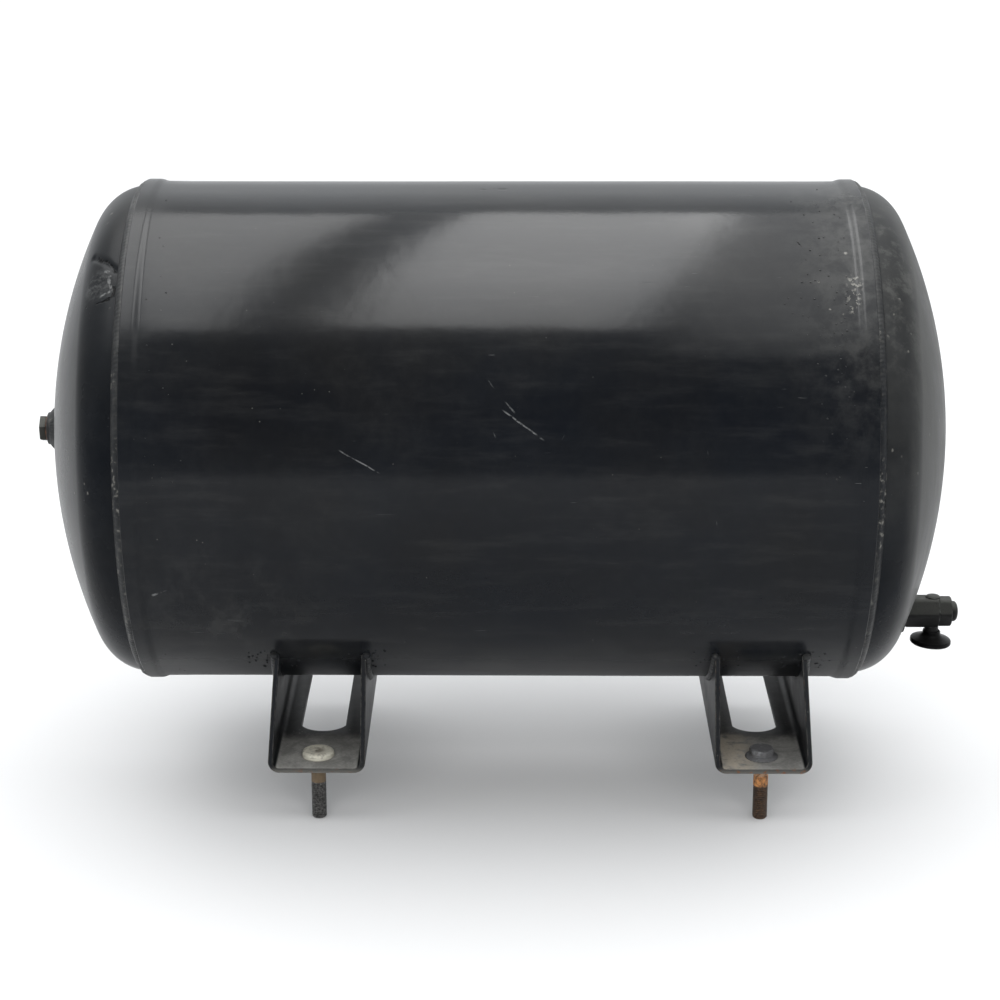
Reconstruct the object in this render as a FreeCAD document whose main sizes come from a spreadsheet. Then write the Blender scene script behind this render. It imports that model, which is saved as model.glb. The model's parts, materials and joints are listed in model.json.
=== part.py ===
import FreeCAD, Part
import math
import operator
import os
import types
import Sketcher

# Steel air receiver tank on two channel feet, with a plugged end port and a push-button drain valve.
#
# Frame: +X along the tank axis towards the drain valve, +Z up, +Y towards the rear. The origin is midway
# between the two mounting bolts, on the underside plane of the feet. All lengths are millimetres and all
# angles are degrees.

# Driving sizes. Each is one cell of the spreadsheet, and the name is the cell's alias.
SIZES = {
    # Where the tank lies over its feet
    "tank_offset": 32.0,          # tank middle, this far to -X of the middle between the feet
    "axis_height": 240.0,         # tank axis above the underside of the feet
    "axis_setback": 114.0,        # tank axis behind the line of the mounting bolts
    # Shell: rolled sheet with a bell at each end
    "shell_radius": 198.0,
    "sheet": 3.0,
    "shell_length": 556.0,
    "bell_rise": 1.6,
    "bell_length": 8.0,
    "bell_taper": 7.0,
    "seam_width": 6.0,
    "seam_top_width": 3.6,
    "seam_rise": 1.2,
    "seam_turn": 110.0,           # from the top of the shell towards the rear
    # Torispherical heads, slipped into the shell
    "head_radius": 194.8,
    "crown_radius": 395.0,
    "knuckle_radius": 39.0,
    "skirt_length": 20.0,
    "girth_weld_leg": 5.6,
    "girth_weld_bulge": 3.4,
    "girth_weld_step": 0.4,
    # Screwed end port, M16 x 1.5, on the axis of the left head
    "end_socket_radius": 13.0,
    "end_socket_rise": 10.3,
    "end_socket_depth": 7.0,
    "end_port_bore": 7.19,
    "end_weld_leg": 9.0,
    "end_weld_stop": 0.8,         # bare end of the socket beyond its weld
    "plug_flats": 19.0,
    "plug_head": 5.2,
    "plug_turn": 20.0,
    "plug_thread": 11.0,
    "plug_thread_radius": 7.1,
    "seal_radius": 10.2,
    "seal_thickness": 1.0,
    "seal_clearance": 0.2,
    # M22 x 1.5 sockets: the drain port in the right head and the two line ports at the rear
    "socket_radius": 17.5,
    "socket_gap": 0.2,
    "port_bore": 10.19,
    "line_socket_depth": 7.0,
    "line_socket_rise": 9.0,
    "line_port_spacing": 340.0,
    "line_weld_leg": 5.0,
    "line_weld_rise": 5.0,
    "line_weld_lip": 0.4,
    "line_weld_root": 2.0,        # the weld's cone starts this far inside the shell's surface
    "drain_drop": 155.0,          # drain port axis below the tank axis
    "drain_socket_start": 305.0,  # inner face of the drain socket, from the tank's middle
    "drain_socket_face": 331.0,
    "drain_weld_radius": 22.5,
    "drain_weld_rise": 4.0,
    # Drain valve
    "drain_seal_radius": 13.5,
    "drain_seal_thickness": 1.5,
    "valve_flats": 24.3,
    "valve_front_length": 27.1,
    "valve_nose_flats": 22.6,
    "valve_nose_length": 10.4,
    "valve_thread": 20.0,
    "valve_thread_radius": 10.1,
    "cross_bore": 4.0,
    "stem_station": 22.5,         # stem axis from the valve's sealing face
    "chamber_bore": 4.5,
    "seat_level": 5.0,            # valve seat below the valve's axis
    "seat_bore": 2.6,
    "neck_radius": 5.7,
    "neck_bottom": 19.0,          # end of the neck below the valve's axis
    "end_cap_radius": 8.5,
    "end_cap_length": 5.6,
    "end_cap_spigot": 7.0,
    "end_cap_spigot_radius": 3.9,
    "top_cap_radius": 6.0,
    "top_cap_rise": 1.8,
    "top_cap_spigot": 3.2,
    "top_cap_spigot_radius": 4.4,
    # Sprung stem and its button
    "poppet_radius": 4.1,
    "poppet_thickness": 3.0,
    "poppet_seal_radius": 3.8,
    "poppet_seal_thickness": 1.0,
    "stem_radius": 1.5,
    "button_radius": 16.75,
    "button_hub_radius": 7.15,
    "button_hub_bore": 6.05,
    "button_hub_top": 16.6,
    "button_bore_end": 22.9,
    "button_rim_top": 23.2,
    "button_rim_chamfer": 1.4,
    "button_bottom": 28.2,
    "button_skin": 1.2,           # plastic left below the end of the stem
    "spring_radius": 3.0,
    "spring_wire": 0.45,
    "spring_turns": 5.0,
    # Feet: folded channels whose walls are cut to the shell
    "foot_spacing": 350.0,
    "foot_width": 76.5,
    "foot_depth": 279.0,
    "foot_sheet": 4.0,
    "foot_bend_outside": 9.0,
    "foot_bend_inside": 5.0,
    "wall_height": 99.2,
    "outer_wall_lean": 20.0,      # sideways lean of the outer wall over the height of the tank axis
    "inner_wall_lean": 6.0,       # the same for the wall nearer the tank's middle
    "saddle_gap": 0.3,
    "window_width": 35.6,
    "window_front": 51.1,
    "window_rear": 80.0,
    "window_end_radius": 19.3,
    "bolt_hole_radius": 7.25,
    "foot_weld_radius": 3.4,
    "foot_weld_lift": 0.5,
    "foot_weld_reach": 46.0,      # half angle of the weld beads about the tank axis
    # Mounting bolts, M12
    "bolt_radius": 6.0,
    "bolt_length": 52.0,
    "bolt_tip_chamfer": 1.5,
    "bolt_head_radius": 12.9,
    "bolt_head_bevel": 2.5,
    "round_head": 5.5,
    "round_head_crown": 1.2,
    "flange_thickness": 2.4,
    "hex_head": 7.6,
    "hex_flats": 18.0,
    # Cutting tools
    "tool_reach": 80.0,           # length of a tool beyond what it cuts
    "tool_overshoot": 1.0,        # the same where it opens a face of the drain valve
}

# Rounded ends of the turned parts, as (back from the end, in from the rim) for each corner
END_CAP_DOME = ((2.6, 0.3), (0.9, 2.0), (0.0, 4.5))
TOP_CAP_DOME = ((0.7, 0.9), (0.0, 2.6))
# Waist of the drain button, as (below the hub's top, out from the hub)
BUTTON_WAIST = ((3.0, 0.5), (5.0, 3.0))

OPERATIONS = {"+": operator.add, "-": operator.sub, "*": operator.mul, "/": operator.truediv}


class Size:
    """A length, as its number and as the expression over the spreadsheet that gives it."""

    def __init__(self, number, text):
        self.number = number
        self.text = text

    def join(self, sign, other, swapped=False):
        other = as_size(other)
        first, second = (other, self) if swapped else (self, other)
        number = OPERATIONS[sign](first.number, second.number)
        return Size(number, f"({first.text} {sign} {second.text})")

    def __add__(self, other):
        return self.join("+", other)

    def __radd__(self, other):
        return self.join("+", other, True)

    def __sub__(self, other):
        return self.join("-", other)

    def __rsub__(self, other):
        return self.join("-", other, True)

    def __mul__(self, other):
        return self.join("*", other)

    def __rmul__(self, other):
        return self.join("*", other, True)

    def __truediv__(self, other):
        return self.join("/", other)

    def __neg__(self):
        return self.join("*", -1)


def as_size(value):
    return value if isinstance(value, Size) else Size(float(value), f"({value})")


def root_of(value):
    """Square root of a size squared."""
    return Size(math.sqrt(value.number), f"sqrt({value.text})")


def hypotenuse_leg(longest, other):
    return root_of(longest * longest - other * other)


doc = FreeCAD.newDocument("air_receiver_tank")
sheet = doc.addObject("Spreadsheet::Sheet", "sizes")
for row, (alias, number) in enumerate(SIZES.items(), start=1):
    sheet.set(f"A{row}", alias)
    sheet.set(f"B{row}", str(number))
    sheet.setAlias(f"B{row}", alias)
doc.recompute()

S = types.SimpleNamespace(**{alias: Size(number, f"sizes.{alias}") for alias, number in SIZES.items()})
ZERO = as_size(0)
SUBPARTS = []

# Sizes that several sub-parts share
TANK_MIDDLE = FreeCAD.Vector(-S.tank_offset.number, S.axis_setback.number, S.axis_height.number)
HALF_SHELL = S.shell_length / 2
CROWN_RISE = hypotenuse_leg(S.crown_radius - S.knuckle_radius, S.head_radius - S.knuckle_radius)
CROWN_CENTRE = HALF_SHELL - CROWN_RISE           # crown centre from the tank's middle, along X
HEAD_TIP = CROWN_CENTRE + S.crown_radius
VALVE_FACE = S.drain_socket_face + S.drain_seal_thickness
VALVE_HALF = S.valve_flats / 2
ALONG_X = FreeCAD.Rotation()
TO_MINUS_X = FreeCAD.Rotation(FreeCAD.Vector(0, 0, 1), 180)
X_TO_Y = FreeCAD.Rotation(FreeCAD.Vector(0, 0, 1), 90)
X_TO_Z = FreeCAD.Rotation(FreeCAD.Vector(0, 1, 0), -90)
Z_TO_X = FreeCAD.Rotation(FreeCAD.Vector(0, 1, 0), 90)
Z_TO_Y = FreeCAD.Rotation(FreeCAD.Vector(1, 0, 0), -90)


def bind(thing, **sizes):
    """Bind properties of a document object to sizes."""
    for name, size in sizes.items():
        thing.setExpression(name, as_size(size).text)


def subpart(thing, label, middle=TANK_MIDDLE, turn=ALONG_X):
    """Name a finished object as a sub-part and put it in its place."""
    thing.Label = label
    thing.Placement = FreeCAD.Placement(middle, turn)
    SUBPARTS.append(thing)
    return thing


def new_body(name):
    return doc.addObject("PartDesign::Body", name)


def new_sketch(body, plane):
    sketch = body.newObject("Sketcher::SketchObject", body.Name + "_sketch")
    datum = next(item for item in body.Origin.OriginFeatures if item.Role == plane)
    sketch.AttachmentSupport = (datum, [""])
    sketch.MapMode = "FlatFace"
    return sketch


def fix_point(sketch, curve, end, u=None, v=None):
    """Hold a point of a sketch curve at the given distances from the sketch's origin."""
    for kind, size in (("DistanceX", u), ("DistanceY", v)):
        if size is not None:
            index = sketch.addConstraint(Sketcher.Constraint(kind, -1, 1, curve, end, size.number))
            sketch.setExpression(f"Constraints[{index}]", size.text)


def arc_between(start, end, centre):
    """The shorter arc about centre, with the positions of its start and its end in the sketch."""
    mid = FreeCAD.Vector(centre[0].number, centre[1].number, 0)
    first = FreeCAD.Vector(start[0].number, start[1].number, 0) - mid
    last = FreeCAD.Vector(end[0].number, end[1].number, 0) - mid
    angles = [math.atan2(first.y, first.x), math.atan2(last.y, last.x)]
    anticlockwise = first.x * last.y - first.y * last.x > 0
    if not anticlockwise:
        angles.reverse()
    circle = Part.Circle(mid, FreeCAD.Vector(0, 0, 1), first.Length)
    ends = (1, 2) if anticlockwise else (2, 1)
    return Part.ArcOfCircle(circle, angles[0], angles[1]), ends


def outline(body, plane, corners):
    """A closed sketch. A corner is (u, v), or (u, v, centre) where an arc about centre leads to it."""
    sketch = new_sketch(body, plane)
    corners = [(as_size(c[0]), as_size(c[1]), c[2] if len(c) > 2 else None) for c in corners]
    centres = [None if c[2] is None else (as_size(c[2][0]), as_size(c[2][1])) for c in corners]
    sides = []
    for start, end, centre in zip(corners, corners[1:] + corners[:1], centres[1:] + centres[:1]):
        if centre is None:
            points = [FreeCAD.Vector(c[0].number, c[1].number, 0) for c in (start, end)]
            sides.append((sketch.addGeometry(Part.LineSegment(*points), False), 1, 2))
        else:
            arc, ends = arc_between(start, end, centre)
            sides.append((sketch.addGeometry(arc, False), *ends))
            fix_point(sketch, sides[-1][0], 3, *centre)
    for side, following in zip(sides, sides[1:] + sides[:1]):
        sketch.addConstraint(Sketcher.Constraint("Coincident", side[0], side[2], following[0], following[1]))
    for side, corner, centre in zip(sides, corners, centres):
        u, v = corner[:2]
        if centre is not None:
            # The arc already holds this corner in one direction: the other one is stated.
            steep = abs(u.number - centre[0].number) > abs(v.number - centre[1].number)
            u, v = (None, v) if steep else (u, None)
        fix_point(sketch, side[0], side[1], u, v)
    return sketch


def circles(body, plane, rings):
    """A sketch of circles, each (u, v, radius)."""
    sketch = new_sketch(body, plane)
    for u, v, radius in rings:
        u, v = as_size(u), as_size(v)
        shape = Part.Circle(FreeCAD.Vector(u.number, v.number, 0), FreeCAD.Vector(0, 0, 1), radius.number)
        curve = sketch.addGeometry(shape, False)
        fix_point(sketch, curve, 3, u, v)
        index = sketch.addConstraint(Sketcher.Constraint("Radius", curve, radius.number))
        sketch.setExpression(f"Constraints[{index}]", radius.text)
    return sketch


def revolve(body, sketch):
    """Turn a sketch of the XZ plane about the body's X axis."""
    feature = body.newObject("PartDesign::Revolution", body.Name + "_turned")
    feature.Profile = sketch
    feature.ReferenceAxis = (sketch, ["H_Axis"])
    feature.Angle = 360
    return feature


def turned(name, corners):
    """A body turned about its X axis; corners are (along, radius)."""
    body = new_body(name)
    revolve(body, outline(body, "XZ_Plane", corners))
    return body


def pad(body, sketch, length, middle=False):
    feature = body.newObject("PartDesign::Pad", body.Name + "_pad")
    feature.Profile = sketch
    feature.Midplane = middle
    bind(feature, Length=length)
    return feature


def cut_through(body, sketch, both_ways=True):
    """Cut a sketch right through, and stop if nothing was cut."""
    doc.recompute()
    before = body.Shape.Volume
    feature = body.newObject("PartDesign::Pocket", body.Name + "_cut")
    feature.Profile = sketch
    feature.Type = "ThroughAll"
    feature.Midplane = both_ways
    doc.recompute()
    if not body.Shape.Volume < before - 1:
        raise RuntimeError(f"{body.Name}: a pocket cuts nothing")
    return feature


def hexagon(body, flats, plane="YZ_Plane"):
    """A hexagon sketch with two corners on the sketch's first axis."""
    corner = flats / math.sqrt(3)
    half = flats / 2
    spots = [(corner, 0), (corner / 2, half), (-corner / 2, half),
             (-corner, 0), (-corner / 2, -half), (corner / 2, -half)]
    return outline(body, plane, spots)


def about_x(angle):
    return FreeCAD.Rotation(FreeCAD.Vector(1, 0, 0), angle.number)


def primitive(kind, name, **sizes):
    thing = doc.addObject(kind, name)
    bind(thing, **sizes)
    return thing


def boolean(kind, name, base, tool):
    thing = doc.addObject(kind, name)
    thing.Base = base
    thing.Tool = tool
    return thing


def rod(name, radius, length, base, turn):
    """A cylinder of the given size whose bottom face is at base, in the tank's own frame."""
    thing = primitive("Part::Cylinder", name, Radius=radius, Height=length)
    thing.Placement = FreeCAD.Placement(base, turn)
    return thing


def tank_point(along=0.0, back=0.0, up=0.0):
    """A place given from the tank's middle, in the row's frame."""
    return TANK_MIDDLE + FreeCAD.Vector(along, back, up)


# ---------------------------------------------------------------- shell, heads and their welds

def bell_corners(radius):
    """Outline of the shell at one radius, from its left end to its right end."""
    raised = radius + S.bell_rise
    return [(-HALF_SHELL, raised), (-HALF_SHELL + S.bell_length, raised),
            (-HALF_SHELL + S.bell_length + S.bell_taper, radius),
            (HALF_SHELL - S.bell_length - S.bell_taper, radius),
            (HALF_SHELL - S.bell_length, raised), (HALF_SHELL, raised)]


def make_shell():
    inner = bell_corners(S.shell_radius - S.sheet)
    inner.reverse()
    body = turned("shell", bell_corners(S.shell_radius) + inner)
    hole = S.socket_radius + S.socket_gap
    spots = [(side * S.line_port_spacing / 2, 0, hole) for side in (-1, 1)]
    cut_through(body, circles(body, "XZ_Plane", spots), both_ways=False)
    subpart(body, "shell")


def make_shell_seam():
    """The lengthwise weld of the rolled shell, low on its rear side."""
    body = new_body("shell_seam_weld")
    half = S.seam_width / 2
    half_top = S.seam_top_width / 2
    top = S.shell_radius + S.seam_rise
    corners = [(half, S.shell_radius), (half_top, top), (-half_top, top), (-half, S.shell_radius)]
    length = S.shell_length - 2 * (S.bell_length + S.bell_taper)
    pad(body, outline(body, "YZ_Plane", corners), length, middle=True)
    subpart(body, "shell_seam_weld", turn=about_x(-S.seam_turn))


def knuckle_join(thickness):
    """Where the crown of the head meets its knuckle, on the outside less a thickness."""
    share = (S.crown_radius - thickness) / (S.crown_radius - S.knuckle_radius)
    return CROWN_CENTRE + CROWN_RISE * share, (S.head_radius - S.knuckle_radius) * share


def make_head(name, turn, hole_drop, hole_radius):
    crown = (CROWN_CENTRE, 0)
    knuckle = (HALF_SHELL, S.head_radius - S.knuckle_radius)
    skirt_end = HALF_SHELL - S.skirt_length
    inside = S.head_radius - S.sheet
    corners = [(skirt_end, S.head_radius), (HALF_SHELL, S.head_radius),
               (*knuckle_join(0), knuckle), (HEAD_TIP, 0, crown),
               (HEAD_TIP - S.sheet, 0), (*knuckle_join(S.sheet), crown),
               (HALF_SHELL, inside, knuckle), (skirt_end, inside)]
    body = turned(name, corners)
    cut_through(body, circles(body, "YZ_Plane", [(0, -hole_drop, hole_radius)]))
    subpart(body, name, turn=turn)


def make_girth_weld(name, turn):
    """The bead that joins the end of the shell to the head inside it."""
    knuckle = (HALF_SHELL, S.head_radius - S.knuckle_radius)
    toe = knuckle[1] + hypotenuse_leg(S.knuckle_radius, S.girth_weld_leg)
    shoulder = S.shell_radius + S.bell_rise - S.girth_weld_step
    corners = [(HALF_SHELL, shoulder), (HALF_SHELL + S.girth_weld_bulge, S.shell_radius),
               (HALF_SHELL + S.girth_weld_leg, toe), (HALF_SHELL, S.head_radius, knuckle)]
    subpart(turned(name, corners), name, turn=turn)


# ---------------------------------------------------------------- screwed end port

def crown_station(radius):
    """Where the outside of the crown is, along X, at a radius from the tank axis."""
    return CROWN_CENTRE + hypotenuse_leg(S.crown_radius, radius)


def make_end_port():
    face = HEAD_TIP + S.end_socket_rise
    inner = HEAD_TIP - S.end_socket_depth
    socket = [(inner, S.end_port_bore), (inner, S.end_socket_radius),
              (face, S.end_socket_radius), (face, S.end_port_bore)]
    subpart(turned("end_port_socket", socket), "end_port_socket", turn=TO_MINUS_X)
    toe = S.end_socket_radius + S.end_weld_leg
    weld = [(face - S.end_weld_stop, S.end_socket_radius), (crown_station(toe), toe),
            (crown_station(S.end_socket_radius), S.end_socket_radius, (CROWN_CENTRE, 0))]
    subpart(turned("end_port_weld", weld), "end_port_weld", turn=TO_MINUS_X)
    seal_end = face + S.seal_thickness
    seal_bore = S.end_port_bore + S.seal_clearance
    seal = [(face, seal_bore), (face, S.seal_radius), (seal_end, S.seal_radius), (seal_end, seal_bore)]
    subpart(turned("end_port_seal", seal), "end_port_seal", turn=TO_MINUS_X)
    plug = new_body("end_port_plug")
    pad(plug, hexagon(plug, S.plug_flats), S.plug_head)
    thread = pad(plug, circles(plug, "YZ_Plane", [(0, 0, S.plug_thread_radius)]), S.plug_thread)
    thread.Reversed = True
    subpart(plug, "end_port_plug", tank_point(along=-seal_end.number),
            TO_MINUS_X * about_x(S.plug_turn))


# ---------------------------------------------------------------- M22 sockets

def make_line_port(name, side):
    """A socket through the rear of the shell, with its weld, for a supply or delivery line."""
    along = side * S.line_port_spacing.number / 2
    inner = S.shell_radius - S.line_socket_depth
    face = S.shell_radius + S.line_socket_rise
    socket = [(inner, S.port_bore), (inner, S.socket_radius),
              (face, S.socket_radius), (face, S.port_bore)]
    subpart(turned(name, socket), name, tank_point(along), X_TO_Y)
    foot_radius = S.socket_radius + S.line_weld_leg + S.line_weld_root
    cone = primitive("Part::Cone", name + "_cone", Height=S.line_weld_rise + S.line_weld_root,
                     Radius1=foot_radius, Radius2=S.socket_radius + S.line_weld_lip)
    cone_start = tank_point(along, (S.shell_radius - S.line_weld_root).number)
    cone.Placement = FreeCAD.Placement(cone_start, Z_TO_Y)
    drum_start = tank_point(along - S.tool_reach.number)
    drum = rod(name + "_drum", S.shell_radius, 2 * S.tool_reach, drum_start, Z_TO_X)
    post = rod(name + "_post", S.socket_radius, S.shell_radius + S.tool_reach, tank_point(along), Z_TO_Y)
    trimmed = boolean("Part::Cut", name + "_trim", cone, drum)
    weld = boolean("Part::Cut", name + "_weld", trimmed, post)
    weld.Label = name.replace("socket", "weld")
    SUBPARTS.append(weld)


def make_drain_port():
    socket = [(S.drain_socket_start, S.port_bore), (S.drain_socket_start, S.socket_radius),
              (S.drain_socket_face, S.socket_radius), (S.drain_socket_face, S.port_bore)]
    drop = -S.drain_drop.number
    subpart(turned("drain_port_socket", socket), "drain_port_socket", tank_point(up=drop))
    start = tank_point(along=S.drain_socket_start.number, up=drop)
    column = rod("drain_weld_column", S.drain_weld_radius, S.tool_reach, start, Z_TO_X)
    centre = tank_point(along=CROWN_CENTRE.number)
    layer = primitive("Part::Sphere", "drain_weld_outside", Radius=S.crown_radius + S.drain_weld_rise)
    layer.Placement = FreeCAD.Placement(centre, ALONG_X)
    crown = primitive("Part::Sphere", "drain_weld_inside", Radius=S.crown_radius)
    crown.Placement = FreeCAD.Placement(centre, ALONG_X)
    post = rod("drain_weld_post", S.socket_radius, 2 * S.tool_reach, start, Z_TO_X)
    outside = boolean("Part::Common", "drain_weld_cap", column, layer)
    collar = boolean("Part::Cut", "drain_weld_collar", outside, crown)
    weld = boolean("Part::Cut", "drain_port_weld", collar, post)
    weld.Label = "drain_port_weld"
    SUBPARTS.append(weld)
    bore = S.port_bore + S.seal_clearance
    seal = [(S.drain_socket_face, bore), (S.drain_socket_face, S.drain_seal_radius),
            (VALVE_FACE, S.drain_seal_radius), (VALVE_FACE, bore)]
    subpart(turned("drain_seal", seal), "drain_seal", tank_point(up=drop))


# ---------------------------------------------------------------- drain valve

def valve_point(along=0.0, up=0.0):
    """A place given from the middle of the valve's sealing face."""
    return tank_point(along=VALVE_FACE.number + along, up=up - S.drain_drop.number)


STEM_FOOT = valve_point(along=S.stem_station.number)


def stem_rod(name, radius, bottom, top):
    """A vertical cylinder on the stem's axis between two levels from the valve's axis."""
    base = STEM_FOOT + FreeCAD.Vector(0, 0, bottom.number)
    return rod(name, radius, top - bottom, base, ALONG_X)


def make_valve_body():
    """Hexagonal body with its thread, a vertical stem chamber and a neck below."""
    body = new_body("drain_valve_hex")
    pad(body, hexagon(body, S.valve_flats), S.valve_front_length)
    nose = pad(body, hexagon(body, S.valve_nose_flats), S.valve_front_length + S.valve_nose_length)
    nose.Label = "drain_valve_nose"
    thread = pad(body, circles(body, "YZ_Plane", [(0, 0, S.valve_thread_radius)]), S.valve_thread)
    thread.Reversed = True
    cut_through(body, circles(body, "YZ_Plane", [(0, 0, S.cross_bore)]))
    body.Placement = FreeCAD.Placement(valve_point(), ALONG_X)
    neck = stem_rod("drain_valve_neck", S.neck_radius, -S.neck_bottom, -S.seat_level)
    chamber = stem_rod("drain_valve_chamber", S.chamber_bore, -S.seat_level, VALVE_HALF + S.tool_overshoot)
    outlet = stem_rod("drain_valve_outlet", S.seat_bore, -S.neck_bottom - S.tool_overshoot, ZERO)
    with_neck = boolean("Part::Fuse", "drain_valve_blank", body, neck)
    bored = boolean("Part::Cut", "drain_valve_bored", with_neck, chamber)
    whole = boolean("Part::Cut", "drain_valve_body", bored, outlet)
    whole.Label = "drain_valve_body"
    SUBPARTS.append(whole)


def dome(end, radius, corners):
    """Outline of a rounded end from its rim to the axis."""
    return [(end - back, radius - inward) for back, inward in corners] + [(end, 0)]


def make_valve_caps():
    start = S.valve_front_length + S.valve_nose_length
    end = start + S.end_cap_length
    inner = start - S.end_cap_spigot
    cap = [(inner, 0), (inner, S.end_cap_spigot_radius), (start, S.end_cap_spigot_radius),
           (start, S.end_cap_radius), *dome(end, S.end_cap_radius, END_CAP_DOME)]
    subpart(turned("drain_end_cap", cap), "drain_end_cap", valve_point())
    bottom = VALVE_HALF - S.top_cap_spigot
    top = VALVE_HALF + S.top_cap_rise
    cap = [(bottom, 0), (bottom, S.top_cap_spigot_radius), (VALVE_HALF, S.top_cap_spigot_radius),
           (VALVE_HALF, S.top_cap_radius), *dome(top, S.top_cap_radius, TOP_CAP_DOME)]
    subpart(turned("drain_top_cap", cap), "drain_top_cap", STEM_FOOT, X_TO_Z)


def make_stem_and_button():
    seal_top = S.poppet_seal_thickness - S.seat_level
    poppet_top = seal_top + S.poppet_thickness
    stem_end = S.button_skin - S.button_bottom
    poppet = [(stem_end, 0), (stem_end, S.stem_radius), (seal_top, S.stem_radius),
              (seal_top, S.poppet_radius), (poppet_top, S.poppet_radius), (poppet_top, 0)]
    subpart(turned("drain_poppet", poppet), "drain_poppet", STEM_FOOT, X_TO_Z)
    seal = [(-S.seat_level, S.stem_radius), (-S.seat_level, S.poppet_seal_radius),
            (seal_top, S.poppet_seal_radius), (seal_top, S.stem_radius)]
    subpart(turned("drain_poppet_seal", seal), "drain_poppet_seal", STEM_FOOT, X_TO_Z)
    rim = S.button_radius
    chamfer = S.button_rim_chamfer
    waist = [(-S.button_hub_top - below, S.button_hub_radius + out) for below, out in BUTTON_WAIST]
    button = [(-S.button_hub_top, S.button_hub_bore), (-S.button_hub_top, S.button_hub_radius), *waist,
              (-S.button_rim_top, rim - chamfer), (-S.button_rim_top - chamfer, rim),
              (chamfer - S.button_bottom, rim), (-S.button_bottom, rim - chamfer),
              (-S.button_bottom, 0), (stem_end, 0),
              (stem_end, S.stem_radius), (-S.button_bore_end, S.stem_radius),
              (-S.button_bore_end, S.button_hub_bore)]
    subpart(turned("drain_button", button), "drain_button", STEM_FOOT, X_TO_Z)


def make_spring():
    """Closed-form coil between the poppet and the top cap."""
    wire = S.spring_wire.number
    bottom = -S.seat_level.number + S.poppet_seal_thickness.number + S.poppet_thickness.number + wire
    top = VALVE_HALF.number - S.top_cap_spigot.number - wire
    height = top - bottom
    radius = S.spring_radius.number
    path = Part.makeHelix(height / S.spring_turns.number, height, radius)
    section = Part.Wire([Part.makeCircle(wire, FreeCAD.Vector(radius, 0, 0), FreeCAD.Vector(0, 1, 0))])
    spring = doc.addObject("Part::Feature", "drain_spring")
    spring.Shape = Part.Wire(path).makePipeShell([section], True, True)
    subpart(spring, "drain_spring", STEM_FOOT + FreeCAD.Vector(0, 0, bottom), ALONG_X)


# ---------------------------------------------------------------- feet

def wall_shift(lean, level):
    """How far a leaning wall has moved sideways at a level above the underside."""
    return lean * level / S.axis_height


def foot_corners():
    """Channel outline of the left foot; the tank's middle is to its right."""
    half = S.foot_width / 2
    sheet_width = S.foot_sheet
    top = S.wall_height
    outer = wall_shift(S.outer_wall_lean, top)
    inner = wall_shift(S.inner_wall_lean, top)
    return [(-half, 0), (half, 0), (half + inner, top), (half - sheet_width + inner, top),
            (half - sheet_width, sheet_width), (-half + sheet_width, sheet_width),
            (-half + sheet_width + outer, top), (-half + outer, top)]


def bend_edges(shape, corner_spots):
    """Names of the lengthwise edges at the given corners of the channel."""
    names = []
    for number, edge in enumerate(shape.Edges, start=1):
        ends = [vertex.Point for vertex in edge.Vertexes]
        lengthwise = len(ends) == 2 and abs(ends[0].y - ends[1].y) > S.foot_depth.number / 2
        at_corner = any(abs(ends[0].x - u.number) + abs(ends[0].z - v.number) < 0.01
                        for u, v in corner_spots)
        if lengthwise and at_corner:
            names.append(f"Edge{number}")
    return names


def bend(body, corner_spots, radius):
    """Round the sharp corners of the channel that lie at the given spots."""
    doc.recompute()
    sharp = body.Tip
    feature = body.newObject("PartDesign::Fillet", body.Name + "_bend")
    feature.Base = (sharp, bend_edges(sharp.Shape, corner_spots))
    bind(feature, Radius=radius)


def window_corners(side):
    """The hole in a foot's floor: straight sides and an arc at each end, longer towards the rear."""
    half = S.window_width / 2
    leg = hypotenuse_leg(S.window_end_radius, half)
    high, low = (S.window_rear, S.window_front) if side < 0 else (S.window_front, S.window_rear)
    return [(half, 0), (half, high), (-half, high, (0, high - leg)),
            (-half, -low), (half, -low, (0, leg - low))]


def foot_place(side):
    """Place of a foot's own frame, which has the tank's middle on its +X side."""
    middle = FreeCAD.Vector(side * S.foot_spacing.number / 2, S.axis_setback.number, 0)
    return FreeCAD.Placement(middle, ALONG_X if side < 0 else TO_MINUS_X)


def make_foot(name, side):
    body = new_body(name)
    corners = [(as_size(u), as_size(v)) for u, v in foot_corners()]
    pad(body, outline(body, "XZ_Plane", corners), S.foot_depth, middle=True)
    bend(body, corners[:2], S.foot_bend_outside)
    bend(body, corners[4:6], S.foot_bend_inside)
    cut_through(body, outline(body, "XY_Plane", window_corners(side)))
    rear = S.axis_setback
    holes = [(0, -rear, S.bolt_hole_radius), (0, rear, S.bolt_hole_radius)]
    cut_through(body, circles(body, "XY_Plane", holes))
    saddle = [(0, S.axis_height, S.shell_radius + S.saddle_gap)]
    cut_through(body, circles(body, "YZ_Plane", saddle))
    place = foot_place(side)
    return subpart(body, name, place.Base, place.Rotation)


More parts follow.
